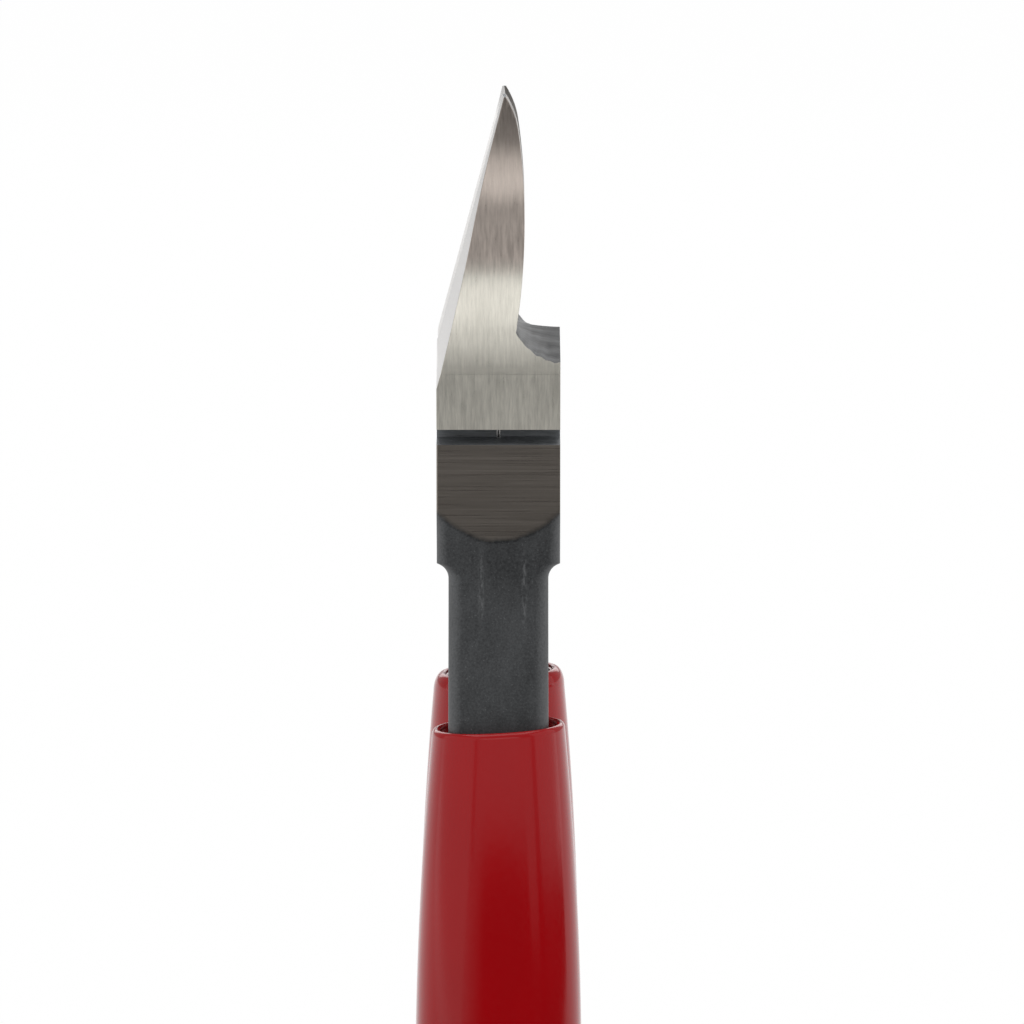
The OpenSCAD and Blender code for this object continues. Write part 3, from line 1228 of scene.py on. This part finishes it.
    def outer_y(self, s: float) -> float:
        """Outer side of the forging at its middle, before the flat is ground.

        Args:
            s: Drop below the hinge.

        Returns:
            The place in y.
        """
        forged = self.head_half_w + (self.flat_drop - s) * math.tan(math.radians(self.forge_slope))
        low = max(s, self.tang.neck_drop)
        shank = self.tang.mid_y(low) + self.tang.half_d(low)
        return (forged + shank + math.hypot(forged - shank, self.forge_blend)) / 2

    def inner_y(self, s: float) -> float:
        """Inner side of the shoulder and shank.

        Args:
            s: Drop below the hinge.

        Returns:
            The place in y.
        """
        root = (self.recess_r + self.head_drop) / 2
        end = self.head_drop + self.step_fillet
        low = max(s, end)
        shank = self.tang.mid_y(low) - self.tang.half_d(low)
        return mixed(self.crotch_gap, shank, float(np.clip((s - root) / (end - root), 0, 1)))

    def half_x(self, s: float) -> float:
        """Half thickness, with the hollow fillet of the step under the head.

        Args:
            s: Drop below the hinge.

        Returns:
            The half thickness.
        """
        end = self.head_drop + self.step_fillet
        if s >= end:
            return self.tang.half_x(s)
        share = min(1.0, (end - s) / self.step_fillet)
        fillet = self.step_fillet * (1 - math.sqrt(1 - share * share))
        return min(self.half_t, self.tang.shank_half_t + fillet)

    def shank_outline(self, s: float) -> Outline:
        """Outline of the shoulder, shank or tang at one drop.

        Args:
            s: Drop below the hinge.

        Returns:
            The outline: crowned outer side, then round by +X, the inner side and -X.
        """
        half, outer, inner = self.half_x(s), self.outer_y(s), self.inner_y(s)
        first, last = self.round_drops
        forged = float(ease((s - first) / (last - first)))
        out_r, in_r = mixed(*self.outer_round, forged), mixed(*self.inner_round, forged)
        crown = mixed(*(1 / (2 * radius) for radius in self.crown_r), forged)
        top = self.head_half_w if s < self.head_drop else max(self.head_half_w, outer)
        right_out = quarter(half - out_r, top - out_r, out_r, 90)
        right_in = quarter(half - in_r, inner + in_r, in_r, 0)
        left_in = quarter(in_r - half, inner + in_r, in_r, -90)
        left_out = quarter(out_r - half, top - out_r, out_r, -180)
        cheek = Zone.CHEEK if s <= self.head_drop else Zone.SHOULDER
        outline = Outline.of(
            (line(left_out[-1], right_out[0], 28), Zone.SHOULDER),
            (right_out[:-1], Zone.SHOULDER),
            (line(right_out[-1], right_in[0], 10), cheek),
            (right_in[:-1], Zone.SHOULDER),
            (line(right_in[-1], left_in[0], 14), Zone.SHOULDER),
            (left_in[:-1], Zone.SHOULDER),
            (line(left_in[-1], left_out[0], 10), cheek),
            (left_out[:-1], Zone.SHOULDER),
        )
        x, y = outline.points.T
        middle = (top + inner) / 2
        share = np.clip((y - middle) / (top - middle), 0, 1)
        outline.points[:, 1] -= share * np.maximum(0.0, top - outer + crown * x**2)
        return outline

    def shank(self) -> bpy.types.Object:
        """Build the shoulder, shank and tang in one sweep down from the notch.

        Returns:
            The closed solid, in the closed frame, in metres.
        """
        step_end = self.head_drop + self.step_fillet
        stops = (self.sweep_start, self.head_drop, step_end, self.tang.shank_drop, self.tang.end_drop)
        rows = [(-s, self.shank_outline(s)) for s in stations(stops, self.shank_steps)]
        return self.sweep("shank", rows[0][1], rows, Zone.SHOULDER)

    def seat(self) -> bpy.types.Object:
        """Build the tool that sinks the spring's seat into the standing shank.

        Returns:
            The closed solid, in the standing tool, in metres.
        """
        turn = around(self.seat_sides)
        across, up = self.seat_r * np.cos(turn), PIVOT_Z - self.seat_drop + self.seat_r * np.sin(turn)
        ends = (0.0, self.side.value * self.seat_y)
        rings = [np.stack([across, np.full_like(turn, y), up], -1) for y in ends]
        return skin("seat", np.array(rings) * MM, Zone.LAP, (Zone.LAP, Zone.LAP))

    def build(self, finishes: dict[Zone, Finish]) -> bpy.types.Object:
        """Build the lever and dress it.

        Args:
            finishes: Finish of each zone.

        Returns:
            The lever, standing in its half of the tool.
        """
        face, bore = -self.side.value, self.bore
        lap, outside, past = (face * size for size in (self.lap_gap / 2, self.half_t, self.past))
        rim = lap + face * self.disc_bevel
        disc = [(lap, self.disc_r - self.disc_bevel), (rim, self.disc_r), (outside, self.disc_r)]
        through, sink = self.half_t + self.past, outside - face * bore.sink_h
        body = self.jaw()
        for zone in Zone:
            body.data.materials.append(finishes[zone].make(self.side))
        for tool, how in (
            (self.shelf(), Carve.CUT),
            (self.shank(), Carve.JOIN),
            (turned("disc", disc, Zone.LAP, first_zone=Zone.GROUND), Carve.JOIN),
            (rod("recess", lap, -outside - past, self.recess_r, Zone.LAP), Carve.CUT),
            (rod("bore", -through, through, bore.radius, Zone.LAP, bore.sides), Carve.CUT),
            (rod("sink", sink, outside + past, bore.sink_r, Zone.LAP, bore.sink_sides), Carve.CUT),
        ):
            carve(body, tool, how)
        points = np.array([v.co for v in body.data.vertices])
        body.data.vertices.foreach_set("co", self.side.to_rest(points / MM).ravel())
        if self.side is Side.FRONT:
            body.data.flip_normals()
        carve(body, self.seat(), Carve.CUT)
        smooth(body)
        body.name = f"{self.side.label}_forged_lever"
        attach(body, self.side.half)
        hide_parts(f"{self.side.label}_lever")
        return body


@dataclass
class Sleeve:
    """A dipped sleeve on a tang: a cup with a flared mouth, a rounded lip and a flat foot."""

    side: Side
    tang: Tang = field(default_factory=Tang)
    rim_drop: float = 24.3
    rim_half_t: float = 5.36
    rim_half_d: float = 5.2
    rim_cant: float = 2.0
    rim_rise: float = 3.0
    grip_half_t: float = 6.78
    grip_half_d: float = 6.478
    flare_len: float = 30.0
    lip_out: Span = (0.35, 0.5)
    lip_in: float = 0.4
    mouth_len: float = 0.7
    end_round: float = 2.4
    gap: float = 0.07
    rim_squareness: float = 0.88
    outer_squareness: float = 0.78
    inner_squareness: float = 0.55
    sides: int = 128
    foot_steps: int = 11
    outer_steps: tuple[int, int] = (23, 39)
    lip_steps: int = 20
    inner_steps: tuple[int, int] = (15, 15)

    @property
    def wall(self) -> float:
        """Thickness of the lip."""
        return self.lip_out[0] + self.lip_in

    @property
    def foot_drop(self) -> float:
        """Drop of the foot below the hinge along the closed lever."""
        return PIVOT_Z / math.cos(math.radians(REST_ANGLE))

    def outer(self, s: float) -> Span:
        """Half sizes of the outside at a drop, drawn in round the foot.

        Args:
            s: Drop below the hinge.

        Returns:
            The half sizes in x and y.
        """
        u = min(1.0, max(0.0, (s - self.rim_drop) / self.flare_len))
        swell = 1 - (1 - u) ** 2
        past = max(0.0, s - (self.foot_drop - self.end_round))
        drawn_in = self.end_round - math.sqrt(max(0.0, self.end_round**2 - past**2))
        return (
            mixed(self.rim_half_t, self.grip_half_t, swell) - drawn_in,
            mixed(self.rim_half_d, self.grip_half_d, swell) - drawn_in,
        )

    def squareness(self, s: float) -> float:
        """Power of the outer outline at a drop: rounder at the rim, squarer down the grip."""
        share = float(ease((s - self.rim_drop) / self.flare_len))
        return mixed(self.rim_squareness, self.outer_squareness, share)

    def mouth(self, s: float) -> float:
        """Share of the open mouth at a drop: full under the lip, closing on the tang below."""
        return 1.0 - float(ease(2 * (s - self.rim_drop) / self.mouth_len - 1))

    def inner(self, s: float) -> Span:
        """Half sizes of the bore at a drop."""
        share = self.mouth(s)
        return (
            mixed(self.tang.half_x(s) + self.gap, self.rim_half_t - self.wall, share),
            mixed(self.tang.half_d(s) + self.gap, self.rim_half_d - self.wall, share),
        )

    def ring(self, s: float, half: Span, squareness: float) -> np.ndarray:
        """Outline of the sleeve at one drop, canted at the rim and level at the foot.

        Args:
            s: Drop below the hinge.
            half: Half sizes in x and y.
            squareness: Power of the rounded outline; 1 is an ellipse.

        Returns:
            Points of x, y and z.
        """
        turn, rest = around(self.sides), math.radians(REST_ANGLE)
        x, y = (
            size * np.sign(wave) * np.abs(wave) ** squareness
            for size, wave in zip(half, (np.cos(turn), np.sin(turn)))
        )
        y += self.tang.mid_y(s)
        share = (s - self.rim_drop) / (self.foot_drop - self.rim_drop)
        back, rise = (math.tan(math.radians(a)) for a in (self.rim_cant, self.rim_rise))
        rim = self.rim_drop + (y - self.tang.mid_y(self.rim_drop)) * back - x * rise
        foot = (PIVOT_Z + y * math.sin(rest)) / math.cos(rest)
        return np.stack([x, y, -mixed(rim, foot, share)], -1)

    def rings(self) -> np.ndarray:
        """Give the rings from the foot up, over the lip and down inside.

        Returns:
            Array of ring, point and x, y, z, in the closed frame.
        """
        wide, high = self.lip_out
        rim, round_end = self.rim_drop, self.foot_drop - self.end_round
        foot = [
            self.foot_drop - self.end_round * (1 - math.cos(turn))
            for turn in np.linspace(0, math.pi / 2, self.foot_steps + 1)
        ]
        outer = stations((round_end, rim + self.flare_len, rim + high), self.outer_steps)[1:]
        rings = [self.ring(s, self.outer(s), self.squareness(s)) for s in (*foot, *outer)]
        start = self.outer(rim + high)
        for turn in np.linspace(0, math.pi, self.lip_steps + 1)[1:-1]:
            outside = turn < math.pi / 2
            s = rim + (high if outside else self.lip_in) * (1 - math.sin(turn))
            taken = wide - (wide if outside else self.lip_in) * math.cos(turn)
            rings.append(self.ring(s, (start[0] - taken, start[1] - taken), self.squareness(s)))
        bottom = self.tang.end_drop + self.gap
        for s in stations((rim + self.lip_in, rim + self.mouth_len, bottom), self.inner_steps):
            square = mixed(self.inner_squareness, self.squareness(s), self.mouth(s))
            rings.append(self.ring(s, self.inner(s), square))
        return np.array(rings)

    def build(self, finish: RedSleeve) -> bpy.types.Object:
        """Build the sleeve and dress it.

        Args:
            finish: Finish of the sleeve.

        Returns:
            The sleeve, standing in its half of the tool.
        """
        made = skin(f"{self.side.label}_red_sleeve", self.side.to_rest(self.rings()))
        made.data.materials.append(finish.make(self.side))
        smooth(made, SOFT_CREASE)
        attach(made, self.side.half)
        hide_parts(f"{self.side.label}_grip")
        return made


@dataclass
class ReturnSpring:
    """Coil spring between the handles, with one closed turn at each end."""

    coil_r: float = 1.85
    wire_r: float = 0.35
    wire_sides: int = 16
    open_turns: float = 7.0
    end_pitch: float = 2.06
    half_len: float = 6.75
    drop: float = SPRING_DROP
    points_per_turn: int = 36

    @property
    def sizes(self) -> dict[str, float]:
        """Named inputs of the node tree, with lengths in metres."""
        return {
            "Coil radius": self.coil_r * MM,
            "Wire radius": self.wire_r * MM,
            "Open turns": self.open_turns,
            "Length": 2 * (self.half_len - self.wire_r) * MM,
            "Height": (PIVOT_Z - self.drop) * MM,
        }

    def path(self, bench: Bench, given: list[Socket]) -> Socket:
        """Add the nodes that give the place of each point of the wire.

        Args:
            bench: Tree that the nodes go into.
            given: Sockets of the named inputs, in their order.

        Returns:
            Socket of the place.
        """
        coil_r, wire_r, open_turns, length, height = given
        end_pitch = bench.math("MULTIPLY", wire_r, self.end_pitch)
        run = bench.math("SUBTRACT", length, bench.math("MULTIPLY", end_pitch, 2.0))
        pitch = bench.math("DIVIDE", run, open_turns)
        share = bench.node("GeometryNodeSplineParameter").outputs["Factor"]
        turn = bench.math("MULTIPLY", share, bench.math("ADD", open_turns, 2.0))
        last = bench.math("ADD", open_turns, 1.0)
        reached = bench.math("MINIMUM", bench.math("MAXIMUM", turn, 1.0), last)
        opened = bench.math("SUBTRACT", reached, 1.0)
        closed = bench.math("SUBTRACT", turn, opened)
        travel = bench.math(
            "ADD", bench.math("MULTIPLY", opened, pitch), bench.math("MULTIPLY", closed, end_pitch)
        )
        along = bench.math("SUBTRACT", travel, bench.math("MULTIPLY", length, 0.5))
        angle = bench.math("MULTIPLY", turn, math.tau)
        across, up = (bench.math("MULTIPLY", coil_r, bench.math(wave, angle)) for wave in ("COSINE", "SINE"))
        up = bench.math("ADD", up, height)
        return bench.node("ShaderNodeCombineXYZ", {0: across, 1: along, 2: up}).outputs[0]

    def tree(self, material: bpy.types.Material) -> bpy.types.GeometryNodeTree:
        """Build the nodes that wind a wire along Y.

        Args:
            material: Finish of the wire.

        Returns:
            The node tree, with its sizes as named inputs.
        """
        tree = bpy.data.node_groups.new("wound_spring", "GeometryNodeTree")
        for name in self.sizes:
            tree.interface.new_socket(name, in_out="INPUT", socket_type="NodeSocketFloat")
        tree.interface.new_socket("Geometry", in_out="OUTPUT", socket_type="NodeSocketGeometry")
        bench = Bench(tree)
        inputs = bench.node("NodeGroupInput").outputs
        place = self.path(bench, [inputs[name] for name in self.sizes])
        section = {"Resolution": self.wire_sides, "Radius": inputs["Wire radius"]}
        section = bench.node("GeometryNodeCurvePrimitiveCircle", section).outputs[0]
        count = int((self.open_turns + 2) * self.points_per_turn) + 1
        made = bench.node("GeometryNodeCurvePrimitiveLine").outputs[0]
        for kind, settings in (
            ("GeometryNodeResampleCurve", {"Count": count}),
            ("GeometryNodeSetPosition", {"Position": place}),
            ("GeometryNodeCurveToMesh", {"Profile Curve": section, "Fill Caps": True}),
            ("GeometryNodeRealizeInstances", {}),
            ("GeometryNodeSetMaterial", {"Material": material}),
        ):
            made = bench.node(kind, {0: made, **settings}).outputs[0]
        bench.node("NodeGroupOutput", {0: made})
        return tree

    def build(self, finish: SpringWire) -> bpy.types.Object:
        """Wind the spring.

        Args:
            finish: Finish of the wire.

        Returns:
            The spring.
        """
        made = placed("coiled_spring", bpy.data.meshes.new("coiled_spring"))
        modifier = made.modifiers.new("wound", "NODES")
        modifier.node_group = self.tree(finish.make())
        for item in modifier.node_group.interface.items_tree:
            if item.in_out == "INPUT":
                modifier[item.identifier] = self.sizes[item.name]
        settle(made)
        smooth(made, SOFT_CREASE)
        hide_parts("return_spring")
        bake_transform(made)
        return made


@dataclass
class HingeScrew:
    """Slotted hinge screw with a flush head at +X, and its notched round nut at -X."""

    half_t: float = HEAD_HALF_T
    head_r: float = 4.0
    head_h: float = 1.8
    shoulder_r: float = 2.5
    thread_r: float = 2.0
    nut_r: float = 3.6
    nut_h: float = 1.8
    fit: float = 0.03
    slot_w: float = 0.9
    slot_d: float = 0.8
    slot_half_len: float = 8.0
    edge_round: float = 0.07
    edge_angle: float = 40.0
    edge_segments: int = 2
    past: float = 1.0

    def slot(self, x: float) -> bpy.types.Object:
        """Block that cuts a driver slot.

        Args:
            x: Face that the slot is cut into.

        Returns:
            The block, in the closed frame.
        """
        half = (self.slot_half_len, self.slot_w / 2)
        corners = np.array([(-1, -1), (1, -1), (1, 1), (-1, 1)]) * half
        deep = math.copysign(self.slot_d, x)
        rings = [np.column_stack([np.full(4, at), corners]) for at in (x - deep, x + deep)]
        return skin("slot", np.array(rings) * MM)

    def finish_off(self, made: bpy.types.Object, node: str, material: bpy.types.Material) -> bpy.types.Object:
        """Round a turned piece's edges, lift it to the hinge and dress it.

        Args:
            made: The piece, in the closed frame.
            node: CAD node that it stands for.
            material: Its finish.

        Returns:
            The piece.
        """
        bevel = made.modifiers.new("edges", "BEVEL")
        bevel.width = self.edge_round * MM
        bevel.segments = self.edge_segments
        bevel.limit_method = "ANGLE"
        bevel.angle_limit = math.radians(self.edge_angle)
        settle(made)
        for vertex in made.data.vertices:
            vertex.co.z += PIVOT_Z * MM
        made.data.materials.clear()
        made.data.materials.append(material)
        smooth(made)
        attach(made, "rear_half")
        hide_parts(node)
        return made

    def build(self, finish: TurnedSteel) -> list[bpy.types.Object]:
        """Build the screw and the nut.

        Args:
            finish: Finish of both.

        Returns:
            The two pieces.
        """
        material = finish.make()
        under = self.half_t - self.head_h
        screw = turned(
            "hinge_screw",
            [
                (-self.half_t, self.thread_r),
                (0.0, self.thread_r),
                (0.0, self.shoulder_r),
                (under, self.shoulder_r),
                (under, self.head_r),
                (self.half_t, self.head_r),
            ],
        )
        carve(screw, self.slot(self.half_t), Carve.CUT)
        nut = rod("hinge_nut", -self.half_t, self.nut_h - self.half_t, self.nut_r)
        carve(nut, rod("nut_bore", -self.half_t - self.past, 0.0, self.thread_r + self.fit), Carve.CUT)
        carve(nut, self.slot(-self.half_t), Carve.CUT)
        return [
            self.finish_off(screw, "pivot_screw", material),
            self.finish_off(nut, "pivot_nut", material),
        ]


@dataclass(frozen=True)
class SoftBox:
    """A soft rectangular lamp, with its place and size in metres."""

    name: str
    place: Triple
    size: Span
    radiance: float

    def build(self, aim: Vector) -> None:
        """Hang the lamp and turn it to a point.

        Args:
            aim: The point, in metres.
        """
        lamp = bpy.data.lights.new(self.name, "AREA")
        lamp.shape = "RECTANGLE"
        lamp.size, lamp.size_y = self.size
        lamp.energy = self.radiance * math.pi * self.size[0] * self.size[1]
        made = placed(self.name, lamp)
        made.location = self.place
        made.rotation_euler = (aim - Vector(self.place)).to_track_quat("-Z", "Y").to_euler()
        made.visible_camera = False


def stage_plane(name: str, corners: list[Triple], material: bpy.types.Material) -> bpy.types.Object:
    """Build a plane that belongs to the studio.

    Args:
        name: Name of the plane.
        corners: Its corners in metres.
        material: Its finish.

    Returns:
        The plane.
    """
    mesh = bpy.data.meshes.new(name)
    mesh.from_pydata(corners, [], [tuple(range(len(corners)))])
    mesh.materials.append(material)
    made = placed(name, mesh)
    return made


@dataclass(frozen=True)
class Card:
    """A matte card that only the tool's polished faces see, upright or lying as a mat, in metres."""

    name: str
    start: Span
    end: Span
    level: float
    tops: Span | None = None
    left_level: float | None = None
    fade_x: Span = (-0.42, -0.12)
    low: float = 0.002

    @property
    def corners(self) -> list[Triple]:
        """Corners of a mat between start and end, or of an upright card from start to end.

        Returns:
            The four corners, in order.
        """
        (x, y), (far_x, far_y) = self.start, self.end
        if self.tops is None:
            return [(x, y, self.low), (far_x, y, self.low), (far_x, far_y, self.low), (x, far_y, self.low)]
        near, far = self.tops
        return [(x, y, self.low), (far_x, far_y, self.low), (far_x, far_y, far), (x, y, near)]

    def build(self) -> None:
        """Set the card up; where it has a left level, it fades to that towards -X."""
        shader = Shader(self.name, origin=0.0)
        color: Socket | Color = grey(self.level)
        if self.left_level is not None:
            color = shader.spread(shader.axes()[0], (self.left_level, self.level), self.fade_x)
        shader.set_matte(color)
        card = stage_plane(self.name, self.corners, shader.material)
        card.visible_camera = card.visible_diffuse = card.visible_shadow = False


@dataclass
class Studio:
    """Camera, pale floor, soft lamps, and dark cards that only reflections see, in metres."""

    elevation: float = 10.7
    distance: float = 0.55
    aim: Triple = (0.0011, 0.0, 0.1152)
    focal_px: float = 6694.0
    image_px: float = 1024.0
    sensor: float = 36.0
    near_clip: float = 0.01
    world_level: float = 0.42
    floor_half: float = 5.0
    floor_level: float = 0.93
    floor_white: Span = (0.3, 0.99)
    floor_fade: Span = (0.05, 0.26)
    lamps: tuple[SoftBox, ...] = (
        SoftBox("left_box", (-0.95, -0.35, 0.45), (1.7, 1.1), 0.48),
        SoftBox("right_box", (0.95, -0.1, 0.45), (1.2, 1.1), 0.55),
        SoftBox("top_box", (0.0, 0.0, 1.15), (1.1, 1.1), 1.5),
        SoftBox("front_strip", (0.0, -1.1, 0.53), (1.0, 0.29), 1.3),
        SoftBox("front_fill", (0.2, -1.15, 0.3), (1.7, 0.15), 0.38),
        SoftBox("back_strip", (0.0, 1.1, 0.43), (1.0, 0.49), 1.3),
    )
    cards: tuple[Card, ...] = (
        Card("front_card", (-0.42, -0.7), (0.42, -0.7), 0.015, tops=(0.185, 0.185), left_level=0.8),
        Card("corner_card", (0.42, -0.7), (0.7, -0.7), 0.015, tops=(0.14, 0.14)),
        Card("right_card", (0.7, -0.7), (0.7, 0.18), 0.015, tops=(0.182, 0.046)),
        Card("black_mat", (-0.42, -0.7), (0.7, -0.42), 0.015, left_level=0.8),
        Card("grey_mat", (-0.5, -0.42), (0.7, -0.15), 0.56),
    )

    def shoot(self) -> None:
        """Set up the camera at the photograph's angle."""
        tilt = math.radians(self.elevation)
        camera = bpy.data.cameras.new("camera")
        camera.sensor_width = self.sensor
        camera.lens = self.focal_px / self.image_px * self.sensor
        camera.clip_start = self.near_clip
        made = placed("camera", camera)
        made.location = Vector(self.aim) + self.distance * Vector((0, -math.cos(tilt), math.sin(tilt)))
        made.rotation_euler = (math.pi / 2 - tilt, 0, 0)
        bpy.context.scene.camera = made

    def lay_floor(self) -> None:
        """Lay the pale floor, which the camera and reflections see as nearly white."""
        shader = Shader("pale_floor", origin=0.0)
        rays = shader.node("ShaderNodeLightPath").outputs
        seen = shader.math("MAXIMUM", rays["Is Camera Ray"], rays["Is Glossy Ray"])
        seen = shader.math("MAXIMUM", seen, rays["Is Transmission Ray"])
        away = shader.node("ShaderNodeVectorMath", {0: shader.place}, operation="LENGTH").outputs["Value"]
        share = shader.math("MULTIPLY", seen, shader.spread(away, self.floor_white, self.floor_fade))
        white = shader.node("ShaderNodeEmission").outputs[0]
        matte = shader.surface.outputs[0]
        both = shader.node("ShaderNodeMixShader", {0: share, 1: matte, 2: white}).outputs[0]
        shader.fill(shader.tree.nodes["Material Output"], {"Surface": both})
        shader.set_matte(grey(self.floor_level))
        half = self.floor_half
        corners = [(-half, -half, 0), (half, -half, 0), (half, half, 0), (-half, half, 0)]
        stage_plane("floor", corners, shader.material)

    def build(self) -> None:
        """Set the whole studio up."""
        self.shoot()
        self.lay_floor()
        for card in self.cards:
            card.build()
        for lamp in self.lamps:
            lamp.build(Vector(self.aim))
        world = bpy.data.worlds.new("studio")
        world.use_nodes = True
        background = world.node_tree.nodes["Background"]
        Bench(world.node_tree).fill(background, {"Color": grey(1.0), "Strength": self.world_level})
        bpy.context.scene.world = world
        bpy.context.scene.view_settings.view_transform = "Standard"


def main() -> None:
    """Build and dress the nipper piece by piece."""
    logging.basicConfig(level=logging.INFO, format="%(name)s: %(message)s")
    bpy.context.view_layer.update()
    Studio().build()
    steel = {
        Zone.BACK: WorkedSteel(
            "jaw_back",
            (4.5, 0.5, 0.5),
            level=0.67,
            warm=0.1,
            contrast=0.25,
            ripple_depth=0.004,
            # The jaw's back carries the painted bands of light and shade.
            temper=JAW_PAINTED_BANDS,
        ),
        Zone.GROUND: WorkedSteel("jaw_ground", (0.6, 6.0, 0.3), level=0.95, warm=0.03, contrast=0.05),
        Zone.SHELF: MilledShelf(),
        Zone.CHEEK: WorkedSteel("cheek", (6.0, 6.0, 0.2)),
        Zone.SHOULDER: ForgedShoulder(),
        Zone.LAP: DarkLap(),
        Zone.EDGE: WorkedSteel("jaw_edge", (6.0, 6.0, 0.3), level=0.2, warm=0.1),
    }
    front_lever = Lever(
        Side.FRONT,
        Bore(radius=2.53, sink_r=4.1, sink_h=1.9),
        shelf_inside=Hollow(low=7.5, start=5.4, radius=18.7),
        shelf_back=Hollow(low=6.87, start=3.6, radius=2.2),
    )
    rear_lever = Lever(Side.REAR, Bore(radius=2.03, sink_r=3.7, sink_h=1.8))
    front_sleeve = Sleeve(Side.FRONT, rim_cant=0.5)
    rear_sleeve = Sleeve(Side.REAR, rim_cant=9.0, rim_drop=23.95, lip_out=(0.8, 1.6), lip_in=0.28)
    pieces = [
        front_lever.build(steel),
        rear_lever.build(steel),
        front_sleeve.build(RedSleeve()),
        rear_sleeve.build(RedSleeve()),
        ReturnSpring().build(SpringWire()),
        *HingeScrew().build(TurnedSteel()),
    ]
    for piece in pieces:
        LOG.info("%s: %d faces", piece.name, len(piece.data.polygons))


if __name__ == "__main__":
    main()
